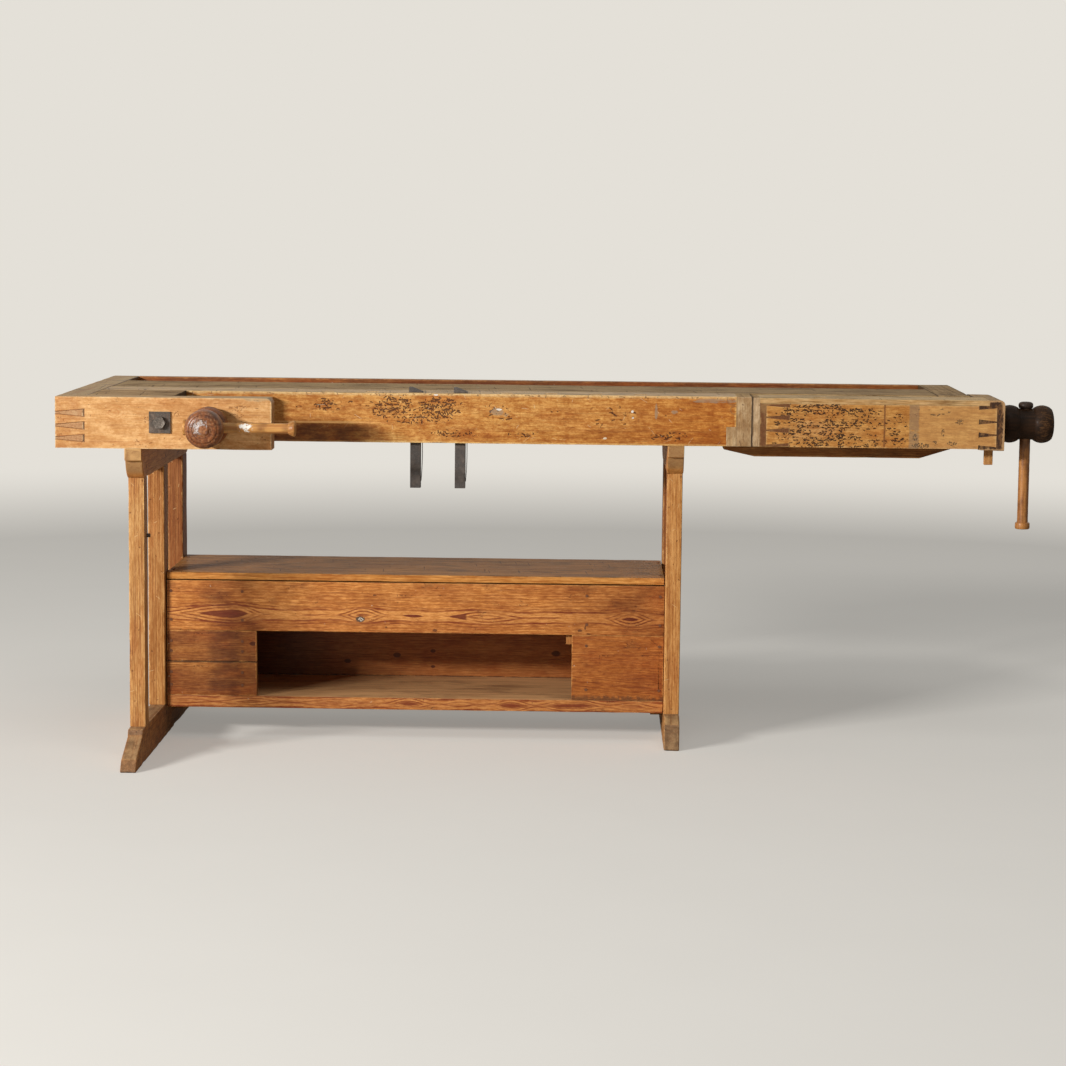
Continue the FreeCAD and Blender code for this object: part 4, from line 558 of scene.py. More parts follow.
def caseMarks(recipe):
    # dents, a little soot and white dabs on the front of the tool box
    front = recipe.front
    ragged = recipe.speckle((14, 12, 30), at=(0, 0, 7))
    share = (ragged - 0.5) * 1.2
    cuts = strokes(recipe, 10, 4.4, 0.9, share, tilt=0.2, seed=31)
    cuts = cuts.atLeast(strokes(recipe, 6, 1.5, 0.9, share, tilt=1, seed=32)) * front
    recipe.paint(cuts * 0.7, (78, 38, 20))
    flake = recipe.speckle((50, 1, 210), 3, at=(0, 0, 3))
    recipe.shade(flake, 0.40, 0.60, (0.82, 0.68, 0.52), (1.12, 1.13, 1.12), front * 0.8)
    soot = recipe.step(ragged, 0.56, 0.74) * front
    recipe.paint(soot * 0.35, (84, 46, 26))
    dabs = strokes(recipe, 42, 3, 1.5, 0.2, tilt=1, seed=33) * recipe.step(ragged, 0.5, 0.62) * front
    recipe.paint(dabs * 0.8, (222, 206, 180))
    recipe.carve(cuts, 0.8, 0.12)


def figure(recipe, heart, step, outer, rises):
    # loops of a flat-sawn board: closed lines round each rise of the yearly layers, and one bold
    # line outside them all; a rise is x, half length, height, and how its left side is drawn out
    own = recipe.own
    wave = recipe.speckle((6, 0, 10), 2, 0.5, at=(0, 3, 0)) - 0.5
    grain = recipe.speckle((40, 0, 260), 2, 0.5, at=(0, 3, 0)) - 0.5
    off = abs(own[2] * 1000 - heart + wave * 10)
    total = None
    for x, long, rise, left in rises:
        dx = (own[0] * 1000 - x) / long
        dx = dx.atLeast(dx * left)
        bump = (dx * dx * -1).exp() * rise
        total = bump if total is None else total + bump
    level = total - off + grain * 2.4
    turn = ((level - 2) / step).fraction()
    loops = recipe.step(turn, 0.0, 0.10) * recipe.step(turn, 0.52, 0.38) * recipe.step(level, 1, 2.4)
    beyond = off - outer - total * 0.35 + grain * 6
    bold = recipe.step(abs(beyond), 2.8, 1.2).atLeast(recipe.step(abs(beyond - step * 0.9), 1.9, 0.8) * 0.7)
    fade = recipe.speckle((9, 0, 60), 3, at=(0, 5, 0))
    return loops.atLeast(bold) * recipe.step(fade, 0.30, 0.62), level, recipe.step(beyond, 1, -3)


def shadedMarks(recipe):
    # a board with a painted shadow: a dark upright band right of its middle, standing for the posts' shadow
    caseMarks(recipe)
    ragged = recipe.speckle((9, 1, 26), 3, 0.6)
    # painted shadow of the posts
    dark = around(recipe, 34, 0, 62, 90) * recipe.step(ragged, 0.28, 0.60)
    recipe.shade(dark, 0, 1, (1.08, 1.07, 1.02), (0.54, 0.47, 0.40), recipe.front)


def lowerSoot(recipe):
    # the panel's foot is blackened, with pale scratches standing in it
    own, half = recipe.own, recipe.half
    caseMarks(recipe)
    ragged = recipe.speckle((90, 1, 60))
    above = own[2] + half[2]
    soot = recipe.step(above + (ragged - 0.5) * 0.04, 0.014, 0.003) * recipe.front
    recipe.paint(soot * 0.65, (70, 46, 32))


topLoops = [(-450, 56, 27, 0.45), (-405, 40, 5, 1), (-250, 50, 4, 1), (-125, 46, 21, 1), (-5, 26, 6, 1),
            (172, 74, 16, 1),
            (322, 40, 5, 1), (520, 44, 22, 1)]
edgeLoops = [(-560, 60, 9, 1), (-400, 70, 12, 1), (-190, 60, 13, 0.7), (-14, 46, 17, 1), (110, 40, 9, 1),
             (235, 48, 18, 1), (340, 34, 9, 1), (402, 56, 17, 1), (530, 50, 13, 1)]


def backMarks(recipe):
    # painted shadow: the back board darkens towards its left end, behind the box's left panel
    own = recipe.own
    dark = recipe.step(own[0], -0.10, -0.42) * recipe.front
    recipe.shade(dark, 0, 1, (1.05, 1.05, 1.05), (0.40, 0.34, 0.32))


def floorEdgeMarks(recipe):
    # the floor's front edge is flat-sawn, with dark closed loops; its top is scoured pale
    front = recipe.front
    lines, level, inner = figure(recipe, 0, 6.5, 10, edgeLoops)
    recipe.paint(inner * front * 0.4, (204, 140, 80))
    recipe.paint(lines * front * 0.9, (122, 54, 24))
    recipe.paint(recipe.step(level, 11.5, 13) * front * 0.85, (116, 50, 24))
    caseMarks(recipe)


def frontTopMarks(recipe):
    # loops of grain, a dead knot, its middle crushed to grey, and a few dark and white spots
    own = recipe.own
    front = recipe.front
    lines, level, inner = figure(recipe, -20, 7.6, 12, topLoops)
    recipe.paint(inner * front * 0.35, (218, 156, 90))
    recipe.paint(lines * front * 0.95, (120, 50, 22))
    # filled with late wood at the two great loops, at a wedge and at the lens's left end
    great = recipe.step(own[0], -0.34, -0.37).atLeast(recipe.step(own[0], 0.44, 0.46))
    solid = recipe.step(level, 18, 19.5) * great
    for place, wide in ((-5, 30), (104, 24)):
        window = recipe.step(abs(own[0] * 1000 - place), wide, wide * 0.7)
        solid = solid.atLeast(window * recipe.step(level, 1.5, 3))
    recipe.paint(solid * front * 0.92, (104, 42, 22))
    caseMarks(recipe)
    # painted shadow of the posts near the left end; the right part is darker as well
    shade = recipe.speckle((5, 0, 12), 3, 0.5, at=(0, 1, 0))
    near = around(recipe, -450, 40, 90, 70).atLeast(around(recipe, -440, -60, 100, 50))
    near = near.atLeast(around(recipe, 640, 0, 360, 160))
    recipe.shade(shade, 0.35, 0.6, (0.42, 0.34, 0.30), (0.74, 0.66, 0.60), near * front)
    crumb = recipe.clouds(recipe.spots, scale=300, detail=3, rough=0.7)
    knot = recipe.step(around(recipe, -133, -29, 17, 11) * 0.5 + crumb, 0.74, 0.82) * front
    recipe.paint(knot * 0.9, (76, 66, 56))
    pale = recipe.step(around(recipe, -131, -29, 10, 8) * 0.4 + crumb, 0.84, 0.90) * front
    recipe.paint(pale, (214, 204, 188))
    dark = clumps(recipe, [(399, -50, 10, 5, 1), (412, -43, 4, 9, 1), (420, -58, 9, 3, 1), (-98, 30, 7, 3, 1),
                                (398, -78, 9, 5, 1), (48, -54, 9, 6, 1), (-70, -48, 5, 4, 1)])
    dark = recipe.step(dark * 0.5 + crumb, 0.78, 0.9) * front
    recipe.paint(dark * 0.75, (76, 40, 26))
    recipe.carve(knot, 0.6)


def postMarks(recipe):
    # dents and scratches of a leg, and a few small knots
    front = recipe.front
    ragged = recipe.speckle((60, 60, 22))
    share = (ragged - 0.5) * 1.3
    cuts = strokes(recipe, 9, 4, 0.9, share, tilt=0.3, upright=0.6, seed=41)
    cuts = cuts.atLeast(strokes(recipe, 40, 3.4, 2.2, 0.3, tilt=1, seed=42)) * front
    recipe.paint(cuts * 0.65, (104, 56, 28))
    flake = recipe.speckle((210, 210, 44), 3)
    recipe.shade(flake, 0.40, 0.60, (0.84, 0.72, 0.56), (1.09, 1.10, 1.10), 0.8)
    pale = strokes(recipe, 30, 8, 0.8, 0.3, tilt=0.4, upright=0.5, seed=43) * front
    recipe.paint(pale * 0.5, (230, 194, 140))
    recipe.carve(cuts, 0.8, 0.1)


def footMarks(recipe):
    # trodden and dusty: grey blotches, dents, and a dark line where it stands
    own, half = recipe.own, recipe.half
    blotch = recipe.speckle((60, 34, 60), 4, 0.72)
    recipe.shade(blotch, 0.36, 0.62, (0.60, 0.56, 0.54), (1.12, 1.11, 1.10), 0.85)
    dents = strokes(recipe, 11, 4, 2.2, (blotch - 0.42) * 1.6, tilt=1, seed=51) * recipe.front
    recipe.paint(dents * 0.6, (84, 60, 42))
    # darker along the lowest few millimetres of the foot
    darkBase = recipe.step(own[2] + (blotch - 0.5) * 0.012, 0.005 - half[2], 0 - half[2])
    recipe.paint(darkBase * 0.7, (58, 42, 30))
    recipe.height = recipe.height + blotch * 0.8 - dents
    recipe.rough = recipe.rough + 0.1


def topMarks(recipe):
    # saw cuts, cracks and stains of a working surface
    own = recipe.own
    x, y, z = own
    up = recipe.step(recipe.facing[2], 0.6, 0.9)
    scratch = recipe.clouds(recipe.vector(x * 10 + y * 16, y * 34 - x * 9, z * 5), detail=2, twist=1.2)
    lines = recipe.step(abs(scratch - 0.5), 0.008, 0.001)
    saw = recipe.clouds(recipe.vector(x * 130 + y * 12, y * 7, z * 5), detail=2)
    cuts = recipe.step(saw, 0.66, 0.72)
    crack = recipe.clouds(recipe.vector(x * 2.4, y * 60, z * 5 + 4), detail=3, rough=0.6)
    cracks = recipe.step(abs(crack - 0.56), 0.012, 0.003)
    stains = recipe.clouds(recipe.vector(x * 7 + 8, y * 16, z), detail=4, rough=0.7)
    recipe.paint(recipe.step(stains, 0.50, 0.66) * up * 0.5, (84, 66, 48))
    recipe.paint(cuts * up * 0.6, (60, 44, 32))
    recipe.paint(lines * up * 0.4, (196, 174, 138))
    recipe.paint(cracks * up * 0.75, (48, 34, 24))
    recipe.carve((cuts * 0.6 + lines * 0.15 + cracks * 0.8) * up, 1)


# boards: timber, grain and how each one is worn
# "round" gives the rounded corners in millimetres, by the two sides that meet there
boards = {
    "vise_arm": {
        "timber": "honeyPine", "grain": "x", "pith": (-140, -60),
        "ease": 0.8, "marks": armMarks, "extra": {"rings": 0.35},
    },
    "left_end_board": {
        "seams": ("+x",), "timber": "honeyPine", "grain": "y", "pith": (30, -120),
        "round": {"-x+z": 3, "-x-z": 2.5, "+y-x": 3, "+y+z": 2},
        "extra": {"end": (182, 138, 96)}, "marks": topMarks,
    },
    "shoulder_block": {
        "seams": ("+x", "+y"), "timber": "wornTop", "grain": "x", "pith": (50, -140),
        "round": {"+x+z": 2, "+x-z": 2},
        "extra": {"early": (190, 137, 79), "late": (150, 98, 51)}, "marks": topMarks,
    },
    "front_beam": {
        "timber": "beamPine", "grain": "x", "pith": (160, -150),
        "round": {"-y+z": 3, "-y-z": 2.5}, "marks": beamMarks, "chips": 1.8,
    },
    "beam_end_facing": {
        "seams": ("+x",), "marks": facingMarks, "timber": "greyHardwood", "grain": "z", "pith": (120, 100),
        "round": {"-y+z": 2, "-y-z": 2, "+x-y": 1, "+x+z": 1.5},
    },
    "top_slab": {
        "seams": ("-x", "+x"), "timber": "wornTop", "grain": "x", "pith": (40, -160), "round": {"+y+z": 3},
        "marks": topMarks, "knots": [(0.3, 0.5, 9)],
    },
    "tray_board": {"timber": "wornTop", "grain": "x", "pith": (20, -60), "marks": topMarks},
    "rear_rail": {
        "timber": "redPine", "grain": "x", "pith": (90, 40),
        "round": {"-y+z": 2, "+y+z": 3, "+y-z": 2, "-y-z": 1}, "marks": caseMarks,
        "extra": {"early": (128, 78, 42), "late": (95, 52, 26), "edgeShare": 0.3},
    },
    "right_end_cap": {
        "seams": ("-x",), "timber": "wornTop", "grain": "y", "pith": (60, -130),
        "round": {"+x+z": 4, "+x-z": 3, "+x+y": 4, "-y+z": 2, "+x-y": 3},
        "extra": {"early": (186, 145, 93), "late": (150, 110, 67)}, "marks": topMarks,
    },
    "tail_nut_block": {"timber": "brownHardwood", "grain": "y", "round": {"-y+z": 2, "-y-z": 2}},
    "tail_guide_strip": {"timber": "brownHardwood", "grain": "x"},
    "lower_guide_rail": {
        "timber": "brownHardwood", "grain": "x", "pith": (70, 80), "ease": 1.5,
        "extra": {"early": (164, 108, 55), "late": (126, 76, 37), "streaks": 0.5},
    },
    "left_foot": {
        "timber": "orangePine", "grain": "y", "pith": (50, -60), "ease": 3, "chips": 3, "marks": footMarks,
        "extra": {"early": (182, 130, 78), "late": (140, 92, 50), "stain": (124, 84, 48), "streaks": 0.8,
                  "end": (134, 106, 78), "top": (166, 134, 96), "edge": (176, 144, 106)},
    },
    "right_foot": {
        "timber": "orangePine", "grain": "y", "pith": (-50, -60), "ease": 3, "chips": 3, "marks": footMarks,
        "extra": {"early": (186, 138, 84), "late": (144, 98, 54), "stain": (126, 88, 50), "streaks": 0.8,
                  "end": (140, 112, 80), "top": (172, 140, 98), "edge": (182, 150, 108)},
    },
    "left_cap": {"timber": "orangePine", "grain": "y", "pith": (60, -70), "ease": 2, "chips": 1.5},
    "right_cap": {"timber": "orangePine", "grain": "y", "pith": (-60, -70), "ease": 2, "chips": 1.5},
    # the floor's top colour is pale: partly worn wood, partly painted light for the light reaching into the box
    "box_floor": {
        "timber": "redPine", "grain": "x", "pith": (-182, -3), "ease": 1.5, "chips": 1.6,
        "marks": floorEdgeMarks,
        "extra": {"early": (185, 125, 68), "late": (119, 53, 22), "bend": 20, "spacing": 3.4,
                  "top": (220, 172, 120)},
    },
    "box_left_end": {"timber": "redPine", "grain": "y", "pith": (40, -60)},
    "box_right_end": {"timber": "redPine", "grain": "y", "pith": (-40, -60)},
    "box_back": {
        "seams": ("-z",), "marks": backMarks, "timber": "redPine", "grain": "x", "pith": (90, 30),
        "extra": {"early": (166, 105, 55), "late": (122, 68, 32)},
        "knots": [(0.342, 0.13, 6), (0.446, 0.19, 7), (0.522, 0.23, 5), (0.522, 0.09, 4), (0.781, 0.22, 8)],
    },
    "box_front_top": {
        "timber": "redPine", "grain": "x", "pith": (90, -20), "round": {"-y+z": 2, "-y-z": 1.5},
        "marks": frontTopMarks,
        "extra": {"early": (206, 142, 78), "late": (140, 66, 28), "bend": 5, "spacing": 3.0, "rings": 0.6},
    },
    # the two left panels' colours are darker than the right panel's: partly the wood's own tone, partly painted
    # shade of the posts' shadow
    "box_left_lower_panel": {
        "seams": ("+z",), "timber": "redPine", "grain": "x", "pith": (30, 60), "ease": 1.2,
        "marks": shadedMarks,
        "extra": {"early": (136, 84, 42), "late": (95, 47, 19)},
    },
    "box_left_upper_panel": {
        "seams": ("-z",), "timber": "redPine", "grain": "x", "pith": (20, -60), "ease": 1.2,
        "marks": shadedMarks,
        "extra": {"early": (143, 91, 47), "late": (101, 54, 24)}, "knots": [(0.96, 0.59, 6)],
    },
    "box_right_panel": {
        "timber": "redPine", "grain": "x", "pith": (16, -44), "lean": (0, 0.10), "ease": 1.2,
        "marks": lowerSoot, "extra": {"early": (174, 108, 50), "late": (120, 56, 22)},
    },
    "box_lid": {
        "timber": "redPine", "grain": "x", "pith": (30, -60), "ease": 1.5, "chips": 1.5,
        "round": {"-y+z": 3, "-y-z": 2, "+y+z": 2, "-x+z": 2, "+x+z": 2},
        "extra": {"early": (206, 146, 80), "late": (164, 100, 50), "top": (174, 122, 68), "shine": 0.05},
        "marks": topMarks,
    },
    "box_battens": {
        "timber": "redPine", "grain": "z", "pith": (60, 20),
        "extra": {"early": (190, 137, 79), "late": (150, 94, 48)},
    },
    "box_bearers": {"timber": "orangePine", "grain": "y", "ease": 1.2},
    "front_jaw_board": {
        "timber": "honeyPine", "grain": "x", "pith": (60, -90), "ease": 1.2,
        "round": {"-y+z": 2, "+y+z": 2, "+x+z": 2.5},
    },
    "front_garter_plate": {"timber": "brownHardwood", "grain": "z", "ease": 0.8},
    "tail_jaw_facing": {
        "seams": ("-x",), "marks": facingMarks, "timber": "greyHardwood", "grain": "z", "pith": (60, 90),
        "round": {"-y+z": 1.5, "-y-z": 1.5, "-x-y": 1, "-x+z": 1},
        "extra": {"early": (198, 174, 142), "late": (168, 140, 108)},
    },
    "tail_front_board": {
        "timber": "beamPine", "grain": "x", "pith": (120, -110), "round": {"-y-z": 2, "-y+z": 1},
        "marks": boardMarks, "extra": {"early": (192, 141, 78), "edgeShare": 0.3},
    },
    # the tail lid's top colour is made paler than the other tops, as painted light on this top
    "tail_lid": {
        "timber": "wornTop", "grain": "x", "pith": (40, -100), "round": {"-y+z": 2},
        "extra": {"early": (208, 172, 124), "late": (182, 142, 96), "top": (250, 218, 170)},
        "marks": topMarks,
    },
    "tail_lower_runner": {"timber": "brownHardwood", "grain": "x", "ease": 1},
    "tail_jaw_block": {"timber": "brownHardwood", "grain": "y", "pith": (50, -50), "round": {"-y-z": 2}},
    "tail_end_block": {
        "seams": ("-x",), "timber": "brownHardwood", "grain": "y", "pith": (90, -90), "chips": 2,
        "round": {"+x-y": 5, "+x-z": 4, "-y-z": 4, "+x+y": 4, "-y+z": 3, "+y+z": 3, "+y-x": 3},
        "extra": {"early": (158, 114, 69), "late": (120, 80, 46), "end": (122, 84, 50)},
        "marks": endBlockMarks,
    },
    "tail_garter_key": {
        "timber": "orangePine", "grain": "z", "pith": (20, 40), "ease": 1.5,
        "extra": {"early": (206, 157, 99), "late": (176, 125, 74)},
    },
}
postLook = {
    "grain": "z", "chips": 1.4, "ease": 0.8, "marks": postMarks,
    "round": {"-x-y": 2.5, "+x-y": 2.5, "-x+y": 2, "+x+y": 2},
}
# the colours darken from the front posts to the rear ones: painted shade, for the rear posts standing back in
# the shade
posts = {
    "left_front_post": {"early": (191, 145, 92), "late": (164, 111, 65)},
    "left_middle_post": {"early": (178, 127, 74), "late": (142, 89, 44)},
    "left_rear_post": {"early": (148, 94, 49), "late": (113, 62, 31)},
    "right_front_post": {"early": (200, 147, 88), "late": (159, 96, 51)},
    "right_rear_post": {"early": (162, 104, 58), "late": (124, 70, 37)},
}
for number, (post, extra) in enumerate(posts.items()):
    pith = (30 - 25 * number, -60 + 20 * number)
    straight = {"streakLength": 420, "dashLength": 130, "mottle": 0.6, "streaks": 0.7}
    boards[post] = {**postLook, "timber": "orangePine", "pith": pith, "extra": {**extra, **straight}}


# wear of a board: millimetres and degrees, slice in metres
wearLook = {"sharp": 25, "room": 0.4, "segments": 3, "smooth": 45, "slice": 0.028, "inset": 7, "thin": 24,
        "reach": 6}


def newObject(name, data):
    made = bpy.data.objects.new(name, data)
    bpy.context.scene.collection.objects.link(made)
    return made


def cleaned(node):
    # the node's mesh with its flat faces made whole
    shape = bmesh.new()
    shape.from_mesh(nodes[node].data)
    bmesh.ops.remove_doubles(shape, verts=shape.verts, dist=0.01 * mm)
    bmesh.ops.dissolve_limit(shape, angle_limit=math.radians(0.5), verts=shape.verts, edges=shape.edges)
    return shape


touching = 0.05 * mm


def sidesOf(point, box):
    # which sides of the box the point lies on, such as "-y" and "+z"
    found = set()
    for axis, letter in enumerate("xyz"):
        if point[axis] - box[0][axis] < touching:
            found.add("-" + letter)
        if box[1][axis] - point[axis] < touching:
            found.add("+" + letter)
    return found


def wornBoard(node, seed):
    board = boards[node]
    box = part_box(node)
    rounds = board.get("round", {})
    ease = board.get("ease", 0.5)
    chips = board.get("chips", 0.8) * mm
    widest = max([ease, *rounds.values()])
    shape = cleaned(node)
    weights = []
    for line in shape.edges:
        width = 0
        if len(line.link_faces) == 2 and line.calc_face_angle_signed(0) > math.radians(wearLook["sharp"]):
            width = ease
            both = sidesOf(line.verts[0].co, box) & sidesOf(line.verts[1].co, box)
            for pair, size in rounds.items():
                if {pair[:2], pair[2:]} <= both:
                    width = size
            # no wider than the short edges of a neighbouring curve leave room for
            beside = {near for face in line.link_faces for near in face.edges} - {line}
            room = min(near.calc_length() for near in beside if set(near.verts) & set(line.verts)) / mm
            width = min(width, room * wearLook["room"])
        weights.append(width / widest)
    mesh = bpy.data.meshes.new(node + "_worn")
    shape.to_mesh(mesh)
    shape.free()
    mesh.attributes.new("bevel_weight_edge", "FLOAT", "EDGE").data.foreach_set("value", weights)
    piece = newObject(node + "_worn", mesh)
    bevel = piece.modifiers.new("corners", "BEVEL")
    bevel.limit_method = "WEIGHT"
    bevel.width = widest * mm
    bevel.segments = wearLook["segments"]
    bevel.use_clamp_overlap = False
    graph = bpy.context.evaluated_depsgraph_get()
    rounded = bpy.data.meshes.new_from_object(piece.evaluated_get(graph))
    piece.modifiers.clear()
    piece.data = rounded
    shape = bmesh.new()
    shape.from_mesh(rounded)
    sliceUp(shape, box)
    wearDown(shape, box, chips, seed)
    shape.to_mesh(rounded)
    shape.free()
    rounded.shade_smooth()
    rounded.set_sharp_from_angle(angle=math.radians(wearLook["smooth"]))
    weighted = piece.modifiers.new("shading", "WEIGHTED_NORMAL")
    weighted.keep_sharp = True
    return piece


def sliceUp(shape, box):
    # cuts across the length, and a pair near each long corner, for the wear to work on
    sizes = box[1] - box[0]
    longest = max(range(3), key=lambda axis: sizes[axis])
    count = max(4, int(sizes[longest] / wearLook["slice"]))
    for axis in range(3):
        places = [box[0][axis] + wearLook["inset"] * mm, box[1][axis] - wearLook["inset"] * mm]
        if axis == longest:
            places = [box[0][axis] + sizes[axis] * step / count for step in range(1, count)]
        elif sizes[axis] < wearLook["thin"] * mm:
            continue
        for place in places:
            point, direction = Vector(), Vector()
            point[axis], direction[axis] = place, 1
            bmesh.ops.bisect_plane(shape, geom=shape.verts[:] + shape.edges[:] + shape.faces[:],
                                   dist=1e-6, plane_co=point, plane_no=direction)


def wearDown(shape, box, chips, seed):
    shape.normal_update()
    moves = []
    for vert in shape.verts:
        gaps = sorted(min(vert.co[a] - box[0][a], box[1][a] - vert.co[a]) for a in range(3))
        near = max(0.0, 1 - gaps[1] / (wearLook["reach"] * mm))
        if near > 0:
            spot = vert.co * 38 + Vector((seed * 3.3, seed, 0))
            rough = max(0.0, noise.noise(spot) + 0.15)
            chip = max(0.0, noise.noise(vert.co * 16 + Vector((seed, 4, 9))) - 0.28) * 3
            moves.append((vert, -vert.normal * chips * near * (rough * 0.7 + chip)))
    for vert, move in moves:
        vert.co += move
    for vert in shape.verts:
        vert.co = [min(max(vert.co[axis], box[0][axis]), box[1][axis]) for axis in range(3)]


def dress(item, material):
    item.data.materials.clear()
    item.data.materials.append(material)


def addPiece(piece, node, material, replaced=True):
    dress(piece, material)
    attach(piece, bodyOf[node])
    if replaced:
        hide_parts(node)


for seed, (node, board) in enumerate(boards.items(), start=1):
    finish = timber(
        node + "_finish", board["timber"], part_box(node), board["grain"], seed=seed,
        pith=board.get("pith", (60, -90)), lean=board.get("lean", (0, 0)),
        knots=board.get("knots", ()), seams=board.get("seams", ()), marks=board.get("marks"),
        **board.get("extra", {}),
    )
    addPiece(wornBoard(node, seed), node, finish)
print("boards:", len(boards))


# iron: bolts, nuts, nails and dogs
irons = {
    "old_iron": {"dark": (58, 51, 46), "pale": (98, 89, 80), "rust": (100, 68, 46), "worn": (150, 142, 132),
                 "metal": 0.5, "rough": 0.42},
    "dog_iron": {"dark": (62, 57, 54), "pale": (92, 86, 82), "rust": (84, 68, 56), "worn": (128, 122, 116),
                 "metal": 0.35, "rough": 0.5},
    "bolt_iron": {"dark": (62, 56, 51), "pale": (124, 114, 104), "rust": (66, 50, 38),
                  "worn": (196, 188, 176),
                  "metal": 0.6, "rough": 0.26},
    "nail_iron": {"dark": (92, 54, 30), "pale": (116, 70, 38), "rust": (84, 46, 26), "worn": (124, 78, 44),
                  "metal": 0.0, "rough": 0.6},
}


def iron(name, kind):
    look = irons[kind]
    recipe = Recipe(name)
    pits = recipe.clouds(recipe.spots, scale=420, detail=4, rough=0.65)
    patches = recipe.clouds(recipe.spots, scale=60, detail=3)
    fine = recipe.clouds(recipe.spots, scale=1500, detail=2)
    recipe.colour = recipe.blend(recipe.step(pits, 0.3, 0.7), rgb(*look["dark"]), rgb(*look["pale"]))
    rusty = recipe.step(patches + pits * 0.4, 0.62, 0.85) * 0.5
    recipe.paint(rusty, look["rust"])
    bright = recipe.step(patches - pits * 0.3, 0.36, 0.48) * 0.3
    recipe.paint(bright, look["worn"])
    recipe.rough = pits * 0.3 + look["rough"] + rusty * 0.3
    recipe.height = pits * 0.5 + fine * 0.08
    return recipe.surface(metallic=look["metal"])


ironOf = {
    "bolt_iron": ("shoulder_bolt",),
    "old_iron": ("shoulder_washer", "end_bolts", "square_nuts", "bearer_bolts",
                 "garter_screws", "post_stud"),
    "nail_iron": ("box_nails",),
}
for finish, members in ironOf.items():
    for node in members:
        dress(nodes[node], iron(f"{finish}_{node}", finish))

pegFinish = timber("peg_finish", "brownHardwood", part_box("drawbore_pegs"), "x", seed=70)
for node in ("drawbore_pegs", "top_pegs"):
    dress(nodes[node], pegFinish)

dogLook = {"round": {}, "ease": 0.8, "chips": 0.5}
for seed, node in enumerate(("left_dog", "right_dog"), start=80):
    boards[node] = dogLook
    addPiece(wornBoard(node, seed), node, iron(f"{node}_finish", "dog_iron"))


# turned pieces: screws, bars and their knobs
def turnedFinish(name, look, seed):
    # rings run round the piece's own X axis
    recipe = Recipe(name)
    x, y, z = recipe.own = recipe.parts(recipe.spots)
    radius = recipe.radius = (y * y + z * z).root()
    grain = recipe.clouds(recipe.vector(x * 14 + seed, y * 160, z * 160), detail=3)
    lines = recipe.clouds(recipe.vector(x * 420, radius * 420, seed), detail=2)
    blotch = recipe.clouds(recipe.spots, scale=28, detail=3)
    recipe.colour = recipe.blend(recipe.step(grain, 0.35, 0.7), rgb(*look["pale"]), rgb(*look["deep"]))
    recipe.paint(recipe.step(blotch, 0.5, 0.75) * 0.6, look["dark"])
    recipe.paint(recipe.step(lines, 0.55, 0.75) * look["lines"], look["dark"])
    recipe.rough = grain * 0.15 + look["rough"]
    recipe.height = lines * 0.3 + grain * 0.15 + blotch * 0.8
    return recipe


turnedSharp = math.radians(38)


def turnedPiece(name, shape):
    bmesh.ops.recalc_face_normals(shape, faces=shape.faces)
    mesh = bpy.data.meshes.new(name)
    shape.to_mesh(mesh)
    shape.free()
    mesh.shade_smooth()
    return newObject(name, mesh)


def lathe(name, profile, steps=64):
    # a surface of revolution about its own X axis, from (length, radius) in millimetres
    shape = bmesh.new()
    rows = []
    for length, radius in profile:
        if radius == 0:
            rows.append([shape.verts.new((length * mm, 0, 0))])
            continue
        angles = [2 * math.pi * step / steps for step in range(steps)]
        wide = radius * mm
        rows.append([shape.verts.new((length * mm, wide * math.cos(a), wide * math.sin(a))) for a in angles])
    for first, second in zip(rows, rows[1:]):
        for step in range(steps):
            following = (step + 1) % steps
            ring = [first[step % len(first)], first[following % len(first)],
                    second[following % len(second)], second[step % len(second)]]
            corners = list(dict.fromkeys(ring))
            if len(corners) > 2:
                shape.faces.new(corners)
    piece = turnedPiece(name, shape)
    piece.data.set_sharp_from_angle(angle=turnedSharp)
    return piece


def threaded(name, start, end, crest, steps=48):
    # a right-handed thread about the X axis
    pitch, depth = threadLook["pitch"], threadLook["depth"]
    shape = bmesh.new()
    count = int((end - start) / pitch * 10)
    rows = []
    for index in range(count + 1):
        length = start + (end - start) * index / count
        row = []
        for step in range(steps):
            share = (length / pitch - step / steps) % 1
            drop = depth * min(1, max(0, 1.25 * abs(share * 2 - 1) - 0.12))
            fade = min(1, (length - start) / pitch, (end - length) / pitch)
            radius = (crest - depth + (depth - drop) * max(fade, 0)) * mm
            angle = 2 * math.pi * step / steps
            row.append(shape.verts.new((length * mm, radius * math.cos(angle), radius * math.sin(angle))))
        rows.append(row)
    for first, second in zip(rows, rows[1:]):
        for step in range(steps):
            following = (step + 1) % steps
            shape.faces.new((first[step], first[following], second[following], second[step]))
    for row, length in ((rows[0], start), (rows[-1], end)):
        middle = shape.verts.new((length * mm, 0, 0))
        for step in range(steps):
            shape.faces.new((row[step], row[(step + 1) % steps], middle))
    return turnedPiece(name, shape)


def arc(start, end, low, swell, count=14, full=0.7):
    # a swelling stretch of a turned outline; less than 1 makes it fuller
    return [
        (start + (end - start) * step / count, low + swell * max(0, math.sin(math.pi * step / count)) ** full)
        for step in range(count + 1)
    ]


hubLook = {"gap": 1, "bead": 43, "waist": 80, "end": 128, "beadRadius": 45, "waistRadius": 37}


